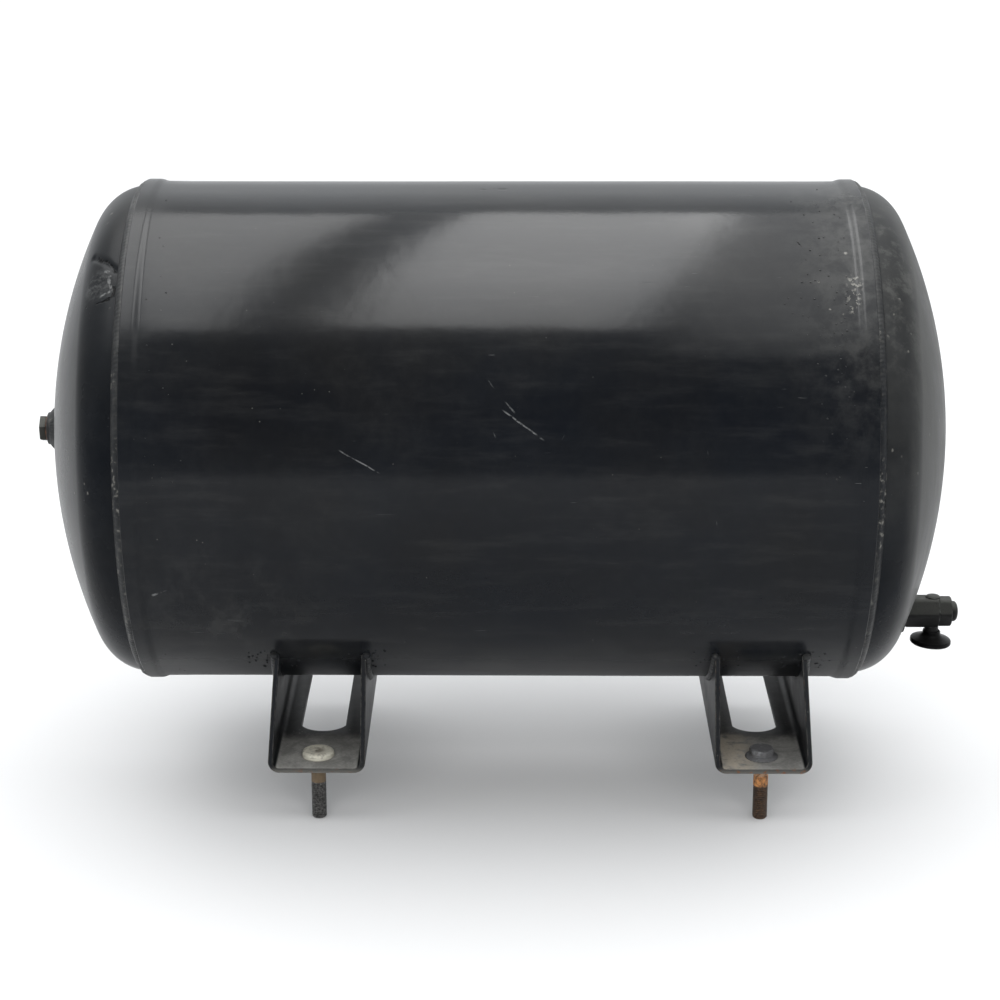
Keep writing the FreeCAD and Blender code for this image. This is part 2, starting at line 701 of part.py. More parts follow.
def make_foot_bead(name, foot, side, face, lean):
    """The weld along the top of one wall, on the wall's outer face."""
    ring = primitive("Part::Torus", name + "_ring", Radius1=S.shell_radius + S.foot_weld_lift,
                     Radius2=S.foot_weld_radius, Angle3=2 * S.foot_weld_reach)
    slope = math.degrees(math.atan2(lean.number, S.axis_height.number))
    tilt = FreeCAD.Rotation(FreeCAD.Vector(0, 1, 0), slope)
    start = FreeCAD.Rotation(FreeCAD.Vector(0, 0, 1), -S.foot_weld_reach.number)
    centre = FreeCAD.Vector((face + lean).number, 0, S.axis_height.number)
    ring.Placement = foot_place(side) * FreeCAD.Placement(centre, tilt * Z_TO_X * start)
    reach = S.tool_reach
    drum_start = foot_place(side).Base + FreeCAD.Vector(-reach.number, 0, S.axis_height.number)
    drum = rod(name + "_drum", S.shell_radius, 2 * reach, drum_start, Z_TO_X)
    trimmed = boolean("Part::Cut", name + "_trim", ring, drum)
    return boolean("Part::Cut", name, trimmed, foot)


def make_foot_and_welds(name, side):
    foot = make_foot(name, side)
    half = S.foot_width / 2
    beads = doc.addObject("Part::Compound", name + "_welds")
    beads.Links = [make_foot_bead(name + "_outer_bead", foot, side, -half, S.outer_wall_lean),
                   make_foot_bead(name + "_inner_bead", foot, side, half, S.inner_wall_lean)]
    beads.Label = name + "_welds"
    SUBPARTS.append(beads)


# ---------------------------------------------------------------- mounting bolts

def bolt_place(side):
    """Middle of a bolt head's underside, on the floor of its foot."""
    return FreeCAD.Vector(side * S.foot_spacing.number / 2, 0, S.foot_sheet.number)


def shank_corners():
    tip = -S.bolt_length
    return [(tip, 0), (tip, S.bolt_radius - S.bolt_tip_chamfer), (tip + S.bolt_tip_chamfer, S.bolt_radius),
            (0, S.bolt_radius), (0, S.bolt_head_radius)]


def make_round_bolt(name, side):
    top = S.round_head
    shoulder = top - S.round_head_crown
    head = [(shoulder, S.bolt_head_radius), (top, S.bolt_head_radius - S.bolt_head_bevel), (top, 0)]
    subpart(turned(name, shank_corners() + head), name, bolt_place(side), X_TO_Z)


def make_flange_bolt(name, side):
    edge = S.flange_thickness / 2
    top = S.flange_thickness
    head = [(edge, S.bolt_head_radius), (top, S.bolt_head_radius - S.bolt_head_bevel), (top, 0)]
    body = turned(name, shank_corners() + head)
    pad(body, hexagon(body, S.hex_flats), S.hex_head)
    subpart(body, name, bolt_place(side), X_TO_Z)


# ---------------------------------------------------------------- the whole tank

make_shell()
make_shell_seam()
make_head("left_head", TO_MINUS_X, ZERO, S.end_socket_radius + S.socket_gap)
make_head("right_head", ALONG_X, S.drain_drop, S.socket_radius + S.socket_gap)
make_girth_weld("left_girth_weld", TO_MINUS_X)
make_girth_weld("right_girth_weld", ALONG_X)
make_end_port()
make_line_port("supply_port_socket", -1)
make_line_port("delivery_port_socket", 1)
make_drain_port()
make_valve_body()
make_valve_caps()
make_stem_and_button()
make_spring()
make_foot_and_welds("left_foot", -1)
make_foot_and_welds("right_foot", 1)
make_round_bolt("left_foot_bolt", -1)
make_flange_bolt("right_foot_bolt", 1)
doc.recompute()

for item in doc.Objects:
    if "Invalid" in item.State or "Error" in item.State:
        raise RuntimeError(f"{item.Name} is not built: {item.State}")
for item in SUBPARTS:
    if item.Shape.isNull() or not item.Shape.isValid():
        raise RuntimeError(f"{item.Label} has no valid shape")

os.makedirs("parts", exist_ok=True)
for item in SUBPARTS:
    item.Shape.exportStep(f"parts/{item.Label}.step")
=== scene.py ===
import json
import math
import random
from functools import reduce

import bmesh
import bpy
import numpy as np
from mathutils import Matrix, Vector, noise


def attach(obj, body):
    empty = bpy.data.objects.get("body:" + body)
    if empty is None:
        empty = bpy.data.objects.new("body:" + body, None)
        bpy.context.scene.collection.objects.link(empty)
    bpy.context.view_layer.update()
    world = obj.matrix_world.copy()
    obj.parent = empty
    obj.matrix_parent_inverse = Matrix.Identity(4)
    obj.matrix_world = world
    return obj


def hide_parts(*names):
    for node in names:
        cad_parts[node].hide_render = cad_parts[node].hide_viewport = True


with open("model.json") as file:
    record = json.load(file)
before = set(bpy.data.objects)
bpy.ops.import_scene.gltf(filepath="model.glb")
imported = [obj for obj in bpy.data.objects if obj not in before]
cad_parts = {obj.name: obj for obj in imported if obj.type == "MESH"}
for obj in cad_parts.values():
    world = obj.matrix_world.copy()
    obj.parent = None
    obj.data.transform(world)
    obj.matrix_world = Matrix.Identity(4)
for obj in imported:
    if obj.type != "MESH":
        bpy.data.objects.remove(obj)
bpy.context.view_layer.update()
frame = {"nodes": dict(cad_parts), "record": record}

SEED = 41
rng = random.Random(SEED)

# ---------------- sizes shared by several pieces

TANK = Vector((-0.032, 0.114, 0.24))      # middle of the tank
HALF_SHELL = 0.278
SHELL_R = 0.198
SHEET = 0.003
BELL_RISE = 0.0016
BELL_LENGTH = 0.008
BELL_TAPER = 0.007
HEAD_R = 0.1948
CROWN_R = 0.395
KNUCKLE_R = 0.039
CROWN_RISE = math.sqrt((CROWN_R - KNUCKLE_R) ** 2 - (HEAD_R - KNUCKLE_R) ** 2)
CROWN_AT = HALF_SHELL - CROWN_RISE
HEAD_TIP = CROWN_AT + CROWN_R
HEAD_SKIRT = HALF_SHELL - 0.02            # inner end of a head's straight part
FOOT_X = 0.175
HALF_FOOT = 0.03825                        # half the width of a foot at its floor
FOOT_Z = 0.004                             # top of the feet's floor
VALVE_FACE = 0.3325                        # the drain valve's sealing face, from the tank's middle
STEM_AT = 0.355                            # the drain valve's stem, from the tank's middle
DRAIN_DROP = 0.155
PORT_X = 0.17                              # the two rear ports, from the tank's middle
PORT_R = 0.0175                            # sockets of the line ports and the drain port
PORT_CORE_R = 0.01019
FLOOR_Z = -0.048                           # ground, level with the tips of the hanging bolts

FLIP = Matrix.Rotation(math.pi, 4, "Z")
AT_TANK = Matrix.Translation(TANK)
AT_VALVE = Matrix.Translation(TANK + Vector((VALVE_FACE, 0, -DRAIN_DROP)))
X_TO_Z = Matrix.Rotation(-math.pi / 2, 4, "Y")
AT_STEM = Matrix.Translation(TANK + Vector((STEM_AT, 0, -DRAIN_DROP))) @ X_TO_Z


# ---------------- mesh helpers

def placed(name, data):
    """A new object in the scene."""
    obj = bpy.data.objects.new(name, data)
    bpy.context.scene.collection.objects.link(obj)
    return obj


def from_bmesh(name, bm):
    mesh = bpy.data.meshes.new(name)
    bm.to_mesh(mesh)
    bm.free()
    return placed(name, mesh)


def new_object(name, verts, faces, matrix=Matrix.Identity(4)):
    mesh = bpy.data.meshes.new(name)
    mesh.from_pydata([tuple(v) for v in verts], [], faces)
    mesh.transform(matrix)
    mesh.update()
    obj = placed(name, mesh)
    tidy_normals(obj)
    return obj


def lofted(name, rings, matrix=Matrix.Identity(4)):
    """A closed skin over rings of points, all with the same number of points."""
    count, around = len(rings), len(rings[0])
    faces = []
    for low in range(0, (count - 1) * around, around):
        high = low + around
        for i in range(around):
            j = (i + 1) % around
            faces.append([low + i, low + j, high + j, high + i])
    faces += [list(range(around)), [(count - 1) * around + i for i in reversed(range(around))]]
    return new_object(name, [point for ring in rings for point in ring], faces, matrix)


def tidy_normals(obj, angle=35.0):
    """Faces outward, smooth shading, and hard edges where faces meet at more than the angle."""
    bm = bmesh.new()
    bm.from_mesh(obj.data)
    bmesh.ops.recalc_face_normals(bm, faces=bm.faces)
    for face in bm.faces:
        face.smooth = True
    limit = math.radians(angle)
    for edge in bm.edges:
        edge.smooth = len(edge.link_faces) != 2 or edge.calc_face_angle(0) < limit
    bm.to_mesh(obj.data)
    bm.free()


def round_edges(obj, width, segments=3, angle=30.0):
    """Bevels the sharp edges of a mesh."""
    bm = bmesh.new()
    bm.from_mesh(obj.data)
    bmesh.ops.remove_doubles(bm, verts=bm.verts, dist=1e-6)
    bmesh.ops.dissolve_limit(bm, angle_limit=math.radians(0.6), verts=bm.verts, edges=bm.edges)
    limit = math.radians(angle)
    sharp = [e for e in bm.edges if len(e.link_faces) == 2 and e.calc_face_angle(0) > limit]
    bmesh.ops.bevel(bm, geom=sharp, offset=width, offset_type="OFFSET", segments=segments,
                    profile=0.5, affect="EDGES", clamp_overlap=True)
    bm.to_mesh(obj.data)
    bm.free()
    tidy_normals(obj)
    return obj


def from_cad(node, name, width, segments=3):
    """A copy of a CAD node with its edges rounded."""
    mesh = frame["nodes"][node].data.copy()
    mesh.name = name
    mesh.materials.clear()
    return round_edges(placed(name, mesh), width, segments)


def subdivided(points, step):
    """Points added along the straight sides of a profile."""
    out = [points[0]]
    for a, b in zip(points, points[1:]):
        count = max(1, math.ceil(math.dist(a, b) / step))
        out += [(a[0] + (b[0] - a[0]) * i / count, a[1] + (b[1] - a[1]) * i / count)
                for i in range(1, count + 1)]
    return out


def arc(cx, cr, radius, start, end, count):
    """Profile points on an arc, with angles in degrees from the X axis."""
    angles = [math.radians(start + (end - start) * i / count) for i in range(count + 1)]
    return [(cx + radius * math.cos(a), cr + radius * math.sin(a)) for a in angles]


def turned(name, profile, matrix, around=96, closed=False, shape=None):
    """A profile of (along, radius) turned about the local X axis. A radius of 0 makes a pole.

    shape(points) moves the points, an array of local positions, before they are placed.
    """
    angles = np.linspace(0, 2 * math.pi, around, endpoint=False)
    verts, rows = [], []
    for x, r in profile:
        if r <= 0:
            rows.append([len(verts)] * around)
            verts.append((x, 0.0, 0.0))
        else:
            rows.append(list(range(len(verts), len(verts) + around)))
            verts += [(x, r * math.cos(a), r * math.sin(a)) for a in angles]
    pairs = list(zip(rows, rows[1:] + rows[:1])) if closed else list(zip(rows, rows[1:]))
    faces = []
    for low, high in pairs:
        for i in range(around):
            j = (i + 1) % around
            loop = [low[i], low[j], high[j], high[i]]
            face = [v for n, v in enumerate(loop) if v not in loop[:n]]
            if len(face) > 2:
                faces.append(face)
    points = np.array(verts, float)
    if shape is not None:
        points = shape(points)
    return new_object(name, points, faces, matrix)


def scaled_radius(points, change):
    """Moves points towards or away from the local X axis by a change in metres."""
    radius = np.hypot(points[:, 1], points[:, 2])
    factor = np.where(radius > 1e-6, (radius + change) / np.maximum(radius, 1e-6), 1.0)
    out = points.copy()
    out[:, 1] *= factor
    out[:, 2] *= factor
    return out


def field(points, size, seed, stretch=(1, 1, 1)):
    """Smooth noise from -1 to 1 at each point; size is its wavelength in metres."""
    shift = Vector((seed * 7.31, seed * 3.17, seed * 5.83))
    scale = [s / size for s in stretch]
    return np.array([noise.noise(Vector((p[0] * scale[0], p[1] * scale[1], p[2] * scale[2])) + shift)
                     for p in points])


def tube(name, path, radii, sides=12, ripple=None):
    """A closed tube along a path of points, with a radius for each point."""
    rings = []
    for i, point in enumerate(path):
        ahead = path[min(i + 1, len(path) - 1)] - path[max(i - 1, 0)]
        tangent = ahead.normalized()
        side = tangent.cross(Vector((1, 0, 0)))
        side = side.normalized() if side.length > 1e-4 else tangent.orthogonal().normalized()
        other = tangent.cross(side)
        ring = []
        for j in range(sides):
            a = 2 * math.pi * j / sides
            r = radii[i] * (1 + (ripple(i) if ripple else 0))
            ring.append(point + side * math.cos(a) * r + other * math.sin(a) * r)
        rings.append(ring)
    return lofted(name, rings)


def joined(name, parts):
    """Several meshes as one object."""
    bm = bmesh.new()
    for part in parts:
        bm.from_mesh(part.data)
        old = part.data
        bpy.data.objects.remove(part)
        bpy.data.meshes.remove(old)
    return from_bmesh(name, bm)


def prism(name, flats, start, end, matrix, turn=0.0, edge=0.0006):
    """A hexagonal bar along local X with rounded edges."""
    corner = flats / math.sqrt(3)
    angles = [turn + i * math.pi / 3 for i in range(6)]
    rings = [[(x, corner * math.cos(a), corner * math.sin(a)) for a in angles] for x in (start, end)]
    return round_edges(lofted(name, rings, matrix), edge)


# ---------------- node helpers

class Graph:
    """Short names for building the node tree of a material or of the world."""

    def __init__(self, owner, end, coordinates):
        owner.use_nodes = True
        self.owner = owner
        self.tree = owner.node_tree
        self.end = self.tree.nodes[end]
        self.place = self.node("TexCoord").outputs[coordinates]

    def node(self, kind, inputs=None, **settings):
        node = self.tree.nodes.new("ShaderNode" + kind)
        for key, value in settings.items():
            setattr(node, key, value)
        self.plug(node, inputs or {})
        return node

    def plug(self, node, inputs):
        """Each input is a value or another node's output."""
        for key, value in inputs.items():
            if isinstance(value, bpy.types.NodeSocket):
                self.tree.links.new(value, node.inputs[key])
            else:
                node.inputs[key].default_value = value

    def math(self, operation, a, b=0.0, clamp=False):
        node = self.node("Math", {0: a, 1: b}, operation=operation, use_clamp=clamp)
        return node.outputs[0]

    def vector(self, operation, a, b):
        node = self.node("VectorMath", {0: a, 1: b}, operation=operation)
        return node.outputs["Value" if operation in ("DOT_PRODUCT", "DISTANCE") else "Vector"]

    def stretched(self, factors, turn=(0, 0, 0)):
        inputs = {"Vector": self.place, "Scale": factors, "Rotation": turn}
        return self.node("Mapping", inputs).outputs[0]

    def noise(self, size, detail=4.0, rough=0.55, warp=0.0, place=None):
        """Noise from 0 to 1; size is its wavelength in metres."""
        inputs = {"Vector": place or self.place, "Scale": 1 / size, "Detail": detail,
                  "Roughness": rough, "Distortion": warp}
        return self.node("TexNoise", inputs).outputs["Fac"]

    def cells(self, size, place=None):
        """Distance to the nearest of scattered points, in cell sizes."""
        inputs = {"Vector": place or self.place, "Scale": 1 / size}
        return self.node("TexVoronoi", inputs).outputs["Distance"]

    def step(self, value, low, high, start=0.0, end=1.0):
        """A soft step: start below low, end above high."""
        inputs = {"Value": value, "From Min": low, "From Max": high, "To Min": start, "To Max": end}
        return self.node("MapRange", inputs, interpolation_type="SMOOTHSTEP").outputs["Result"]

    def fall(self, value, low, high):
        """1 below low, 0 above high."""
        return self.step(value, low, high, 1.0, 0.0)

    def blots(self, low, high, *noise):
        """Patches: 1 where the noise is above high, 0 where it is below low."""
        return self.step(self.noise(*noise), low, high)

    def both(self, *values):
        return reduce(lambda a, b: self.math("MULTIPLY", a, b), values)

    def plus(self, *values):
        return reduce(lambda a, b: self.math("ADD", a, b), values)

    def either(self, *values):
        return reduce(lambda a, b: self.math("MAXIMUM", a, b), values)

    def heaped(self, film, *layers):
        """The film with more layers on it, each a mask and its share, up to 1 in all."""
        for mask, share in layers:
            film = self.math("ADD", film, self.both(mask, share), clamp=True)
        return film

    def mix(self, factor, a, b):
        node = self.node("Mix", {"Factor": factor, 6: a, 7: b}, data_type="RGBA")
        return node.outputs[2]

    def blend(self, factor, a, b):
        node = self.node("Mix", {"Factor": factor, 2: a, 3: b}, data_type="FLOAT")
        return node.outputs[0]

    def varied(self, low, high, *noise):
        """A value that wanders between two others."""
        return self.blend(self.noise(*noise), low, high)

    def coats(self, tone, *coats):
        """The tone under coats of colour, each a mask, its colour and, if it is thin, its share."""
        for mask, colour, *share in coats:
            tone = self.mix(self.both(mask, *share), tone, colour)
        return tone

    def axis(self, name, source=None):
        return self.node("SeparateXYZ", {0: source or self.place}).outputs[name]

    def warped(self, size, amount):
        """The place, moved about by noise."""
        node = self.node("TexNoise", {"Vector": self.place, "Scale": 1 / size, "Detail": 3.0})
        centred = self.vector("SUBTRACT", node.outputs["Color"], (0.5, 0.5, 0.5))
        return self.vector("ADD", self.place, self.vector("MULTIPLY", centred, (amount * 2,) * 3))

    def spot(self, centre, radius, soft=0.6, place=None):
        """1 near a point, falling to 0 at the radius."""
        return self.fall(self.vector("DISTANCE", place or self.place, centre), radius * (1 - soft), radius)

    def spots(self, place, *spots):
        return self.either(*[self.spot(centre, radius, soft, place) for centre, radius, soft in spots])

    def stroke(self, start, end, width, place):
        """1 on a straight stroke between two points, fading at its sides and ends."""
        along = Vector(end) - Vector(start)
        offset = self.vector("SUBTRACT", place, start)
        share = self.math("DIVIDE", self.vector("DOT_PRODUCT", offset, tuple(along)), along.length_squared)
        share = self.math("MINIMUM", self.math("MAXIMUM", share, 0.0), 1.0)
        foot = self.node("VectorMath", {0: tuple(along), "Scale": share}, operation="SCALE")
        distance = self.vector("DISTANCE", offset, foot.outputs[0])
        taper = self.step(self.both(share, self.math("SUBTRACT", 1.0, share), 4.0), 0.0, 0.5)
        return self.both(self.fall(distance, width * 0.3, width), taper)

    def strokes(self, place, *strokes):
        return self.either(*[self.stroke(start, end, width, place) for start, end, width in strokes])

    def edges(self, radius, low=0.02, high=0.12):
        """1 on convex and concave edges that are sharper than the radius."""
        node = self.node("Bevel", {"Radius": radius}, samples=4)
        same = self.vector("DOT_PRODUCT", node.outputs[0], self.normal)
        return self.step(self.math("SUBTRACT", 1.0, same), low, high)

    def bump(self, *layers):
        """Layers are (height from 0 to 1, depth in metres)."""
        below = {}
        for height, depth in layers:
            node = self.node("Bump", {"Distance": depth, "Height": height, **below})
            below = {"Normal": node.outputs[0]}
        self.plug(self.end, below)

    def finish(self, colour, roughness, metallic=0.0, ior=1.5, specular=0.5):
        self.plug(self.end, {"Base Color": colour, "Roughness": roughness, "Metallic": metallic,
                             "IOR": ior, "Specular IOR Level": specular})
        return self.owner


def material(name):
    g = Graph(bpy.data.materials.new(name), "Principled BSDF", "Object")
    g.normal = g.node("NewGeometry").outputs["Normal"]
    return g


BLACK = (0.0014, 0.0034, 0.0072, 1)
SOOT = (0.0022, 0.0022, 0.0023, 1)
DUST = (0.142, 0.142, 0.134, 1)
PALE_DUST = (0.3, 0.292, 0.262, 1)
SCRATCH = (0.21, 0.215, 0.215, 1)
PRIMER = (0.33, 0.335, 0.33, 1)
PAINT_IOR = 1.25
HEAD_IOR = 1.15


def grey(value):
    return (value, value, value, 1)


def upward(g):
    """1 on faces that look up, 0 on faces that look sideways or down."""
    return g.step(g.axis("Z", g.normal), 0.15, 0.95)


def paint_layers(g, dust_share, scratch_share):
    """Masks that all the painted steel shares: dust film and fine scratches."""
    film = g.blots(0.38, 0.72, 0.16, 5.0, 0.6, 0.6)
    grain = g.step(g.noise(0.009, 6.0, 0.7), 0.3, 0.78, 0.45, 1.0)
    dust = g.both(g.plus(g.both(film, 0.75), 0.25), grain, dust_share)
    lengthwise = g.blots(0.735, 0.78, 0.0016, 2.0, 0.5, 0.0, g.stretched((0.045, 1, 1), (0, 0, 0.06)))
    oblique = g.blots(0.745, 0.79, 0.0015, 2.0, 0.5, 0.0, g.stretched((0.07, 1, 1), (0.2, 0.75, 0.3)))
    patches = g.blots(0.5, 0.7, 0.075, 3.0, 0.5)
    scratches = g.both(g.either(lengthwise, oblique), patches, scratch_share)
    return dust, scratches


# ---------------- materials

def shell_paint():
    g = material("shell_black_paint")
    dust, scratches = paint_layers(g, 0.06, 0.7)
    x = g.axis("X")
    z = g.axis("Z")
    up = upward(g)
    # Road film: thick on top, in a band above the feet, and blotchy at the lower left
    low_band = g.both(g.fall(z, 0.085, 0.125), g.blots(0.42, 0.66, 0.05, 4.0, 0.6, 0.3))
    left_low = g.both(g.spot((-0.235, -0.055, 0.135), 0.11, 0.9),
                      g.blots(0.46, 0.68, 0.02, 5.0, 0.65, 0.2, g.stretched((1, 1, 0.5))))
    right_end = g.both(g.step(x, 0.165, 0.245), g.step(z, 0.22, 0.42),
                       g.blots(0.36, 0.64, 0.016, 6.0, 0.7, 0.2))
    streaks = g.blots(0.46, 0.76, 0.011, 5.0, 0.65, 0.0, g.stretched((0.16, 1, 1)))
    film = g.heaped(dust, (up, 0.07), (streaks, 0.045), (low_band, 0.06), (left_low, 0.07), (right_end, 0.22))
    # Long scratches on the front
    lines = g.strokes(
        g.warped(0.03, 0.0012),
        ((-0.24, -0.069, 0.316), (-0.198, -0.066, 0.323), 0.0006),
        ((-0.04, -0.063, 0.328), (-0.02, -0.073, 0.305), 0.0009),
        ((-0.03, -0.072, 0.308), (0.002, -0.079, 0.286), 0.0008),
        ((-0.046, -0.07, 0.312), (-0.034, -0.078, 0.288), 0.0007),
        ((0.014, -0.078, 0.286), (0.028, -0.07, 0.31), 0.0008),
        ((-0.15, -0.08, 0.28), (-0.118, -0.083, 0.262), 0.0007),
        ((-0.254, -0.071, 0.145), (-0.226, -0.07, 0.147), 0.0012),
        ((-0.278, -0.058, 0.13), (-0.262, -0.057, 0.129), 0.0013),
        ((-0.292, -0.068, 0.162), (-0.278, -0.069, 0.168), 0.0014),
        ((0.12, -0.08, 0.28), (0.128, -0.083, 0.222), 0.0007),
        ((0.196, -0.074, 0.3), (0.205, -0.078, 0.285), 0.0008))
    marks = g.either(scratches, g.both(lines, g.blots(0.35, 0.55, 0.004, 3.0)))
    # Spatter and flaked specks beside the right girth weld
    cluster = g.stroke((0.2315, -0.008, 0.3955), (0.2285, -0.035, 0.369), 0.0075,
                       g.warped(0.008, 0.003))
    flakes = g.both(g.blots(0.52, 0.6, 0.0032, 3.0, 0.6), cluster)
    shaken = g.warped(0.004, 0.0016)
    loose = g.spots(shaken, ((0.2265, 0.0079, 0.4071), 0.0018, 0.7),
                    ((0.205, -0.015, 0.3905), 0.0015, 0.7), ((0.2115, -0.032, 0.373), 0.0014, 0.7),
                    ((0.2205, -0.034, 0.37), 0.0013, 0.7))
    fine = g.both(g.fall(g.cells(0.0115), 0.02, 0.06), g.blots(0.48, 0.66, 0.05, 2.0))
    specks = g.either(g.both(flakes, 0.55), g.both(loose, 0.55), g.both(fine, 0.25))
    # Two dark chips on the very top
    wander = g.warped(0.005, 0.0018)
    chips = g.spots(wander, ((-0.0453, 0.0976, 0.4373), 0.0032, 0.4),
                    ((-0.03, 0.099, 0.4374), 0.0042, 0.4), ((-0.037, 0.101, 0.4376), 0.0016, 0.5))
    tone = g.mix(g.noise(0.11, 3.0), BLACK, (0.0034, 0.0033, 0.0034, 1))
    tone = g.coats(tone, (film, DUST), (marks, SCRATCH, 0.55), (specks, PALE_DUST), (chips, SOOT))
    rough = g.varied(0.09, 0.15, 0.07, 5.0, 0.6)
    rough = g.blend(film, rough, 0.4)
    rough = g.blend(marks, rough, 0.55)
    # The bells at the ends and the underside are duller
    from_middle = g.math("ABSOLUTE", g.math("SUBTRACT", x, TANK.x))
    dull = g.either(g.both(g.step(from_middle, 0.245, 0.268), 0.3),
                    g.fall(g.axis("Z", g.normal), -0.9, -0.6))
    rough = g.blend(dull, rough, 0.42)
    g.bump((g.noise(0.0021, 2.0), 0.000012), (g.noise(0.03, 3.0), 0.00014),
           (g.math("SUBTRACT", 1.0, g.either(chips, marks)), 0.00025), (specks, 0.00025))
    return g.finish(tone, rough, ior=PAINT_IOR)


def head_paint():
    g = material("head_black_paint")
    dust, scratches = paint_layers(g, 0.05, 0.7)
    x = g.axis("X")
    z = g.axis("Z")
    up = upward(g)
    # The outer faces of the heads are matt with road dirt, in runs and blotches
    outward = g.math("ABSOLUTE", g.axis("X", g.normal))
    runs = g.blots(0.4, 0.7, 0.012, 5.0, 0.65, 0.1, g.stretched((1, 1, 0.3)))
    caked = g.both(g.step(outward, 0.5, 0.97), g.plus(g.both(runs, 0.55), 0.45))
    right = g.step(x, 0.0, 0.01)
    worn = g.both(right, g.step(z, 0.29, 0.41), g.blots(0.46, 0.66, 0.013, 6.0, 0.72, 0.1))
    rising = g.both(right, g.step(z, 0.16, 0.26))
    film = g.heaped(dust, (caked, g.blend(right, 0.05, 0.3)), (up, 0.1),
                    (rising, g.varied(0.02, 0.2, 0.03, 5.0, 0.65)), (worn, 0.25))
    # Knocks: a torn flap of paint on the left head, and a rubbed strip on the right one
    wander = g.warped(0.011, 0.0042)
    tear = g.strokes(wander, ((-0.337, 0.022, 0.4), (-0.325, 0.007, 0.399), 0.0021),
                     ((-0.326, 0.0084, 0.3995), (-0.3165, -0.003, 0.395), 0.0017),
                     ((-0.318, -0.013, 0.386), (-0.318, -0.0215, 0.379), 0.0018),
                     ((-0.3181, -0.0207, 0.3795), (-0.3315, -0.0187, 0.3738), 0.0015),
                     ((-0.33, -0.0187, 0.3742), (-0.343, -0.012, 0.366), 0.001))
    pale = g.strokes(wander, ((-0.329, 0.003, 0.396), (-0.32, -0.006, 0.3915), 0.0024),
                     ((-0.3215, -0.0045, 0.3915), (-0.319, -0.019, 0.3815), 0.0024),
                     ((-0.319, -0.0165, 0.3835), (-0.333, -0.016, 0.3755), 0.0018))
    flap = g.either(g.both(pale, g.blots(0.4, 0.62, 0.004, 4.0)),
                    g.both(g.spot((-0.33, -0.006, 0.385), 0.019, 0.7, wander),
                           g.step(g.noise(0.005, 5.0, 0.7), 0.4, 0.66, 0.0, 0.34)))
    rub = g.strokes(g.place, ((0.299, -0.052, 0.279), (0.299, -0.056, 0.256), 0.0016),
                    ((0.279, -0.056, 0.323), (0.28, -0.064, 0.3), 0.001))
    chips = g.both(g.fall(g.cells(0.012, wander), 0.05, 0.14), g.blots(0.5, 0.62, 0.028, 3.0))
    tone = g.mix(g.noise(0.09, 3.0), BLACK, (0.0042, 0.0041, 0.004, 1))
    tone = g.coats(tone, (film, DUST), (scratches, SCRATCH, 0.5), (chips, PALE_DUST, 0.35),
                   (flap, PRIMER, 0.38), (rub, PRIMER, 0.7), (tear, SOOT))
    rough = g.varied(0.2, 0.32, 0.06, 5.0, 0.6)
    rough = g.blend(film, rough, 0.75)
    g.bump((g.noise(0.0021, 2.0), 0.000015), (g.noise(0.022, 3.0), 0.00012),
           (g.math("SUBTRACT", 1.0, g.either(tear, scratches)), 0.0006), (g.either(flap, chips), 0.0003),
           (g.both(film, g.noise(0.0012, 3.0)), 0.0001))
    return g.finish(tone, rough, ior=HEAD_IOR)


def weld_paint():
    g = material("weld_black_paint")
    dust = paint_layers(g, 0.22, 0.5)[0]
    lumps = g.noise(0.004, 4.0, 0.6)
    proud = g.step(lumps, 0.52, 0.7)
    broken = g.both(g.fall(g.cells(0.01), 0.1, 0.22), g.blots(0.48, 0.62, 0.05, 2.0))
    tone = g.mix(lumps, BLACK, grey(0.006))
    tone = g.coats(tone, (g.heaped(dust, (upward(g), 0.12)), DUST))
    worn = g.step(g.noise(0.07, 4.0, 0.6), 0.5, 0.62, 0.05, 0.42)
    tone = g.coats(tone, (g.both(proud, worn), PALE_DUST), (broken, SOOT, 0.7))
    rough = g.varied(0.3, 0.55, 0.01, 4.0)
    g.bump((g.noise(0.0016, 4.0), 0.0001), (lumps, 0.00035))
    return g.finish(tone, rough, ior=PAINT_IOR)


def socket_paint():
    g = material("socket_black_paint")
    dust, scratches = paint_layers(g, 0.4, 0.8)
    rings = g.noise(0.0009, 2.0, 0.5, 0.0, g.stretched((1, 0.05, 0.05)))
    edge = g.both(g.edges(0.0008), g.blots(0.42, 0.6, 0.003, 4.0))
    tone = g.mix(rings, BLACK, grey(0.012))
    tone = g.coats(tone, (dust, DUST), (g.either(edge, scratches), SCRATCH, 0.5))
    rough = g.varied(0.35, 0.62, 0.006, 5.0)
    g.bump((rings, 0.00006), (g.noise(0.002, 4.0), 0.00008))
    return g.finish(tone, rough, ior=PAINT_IOR)


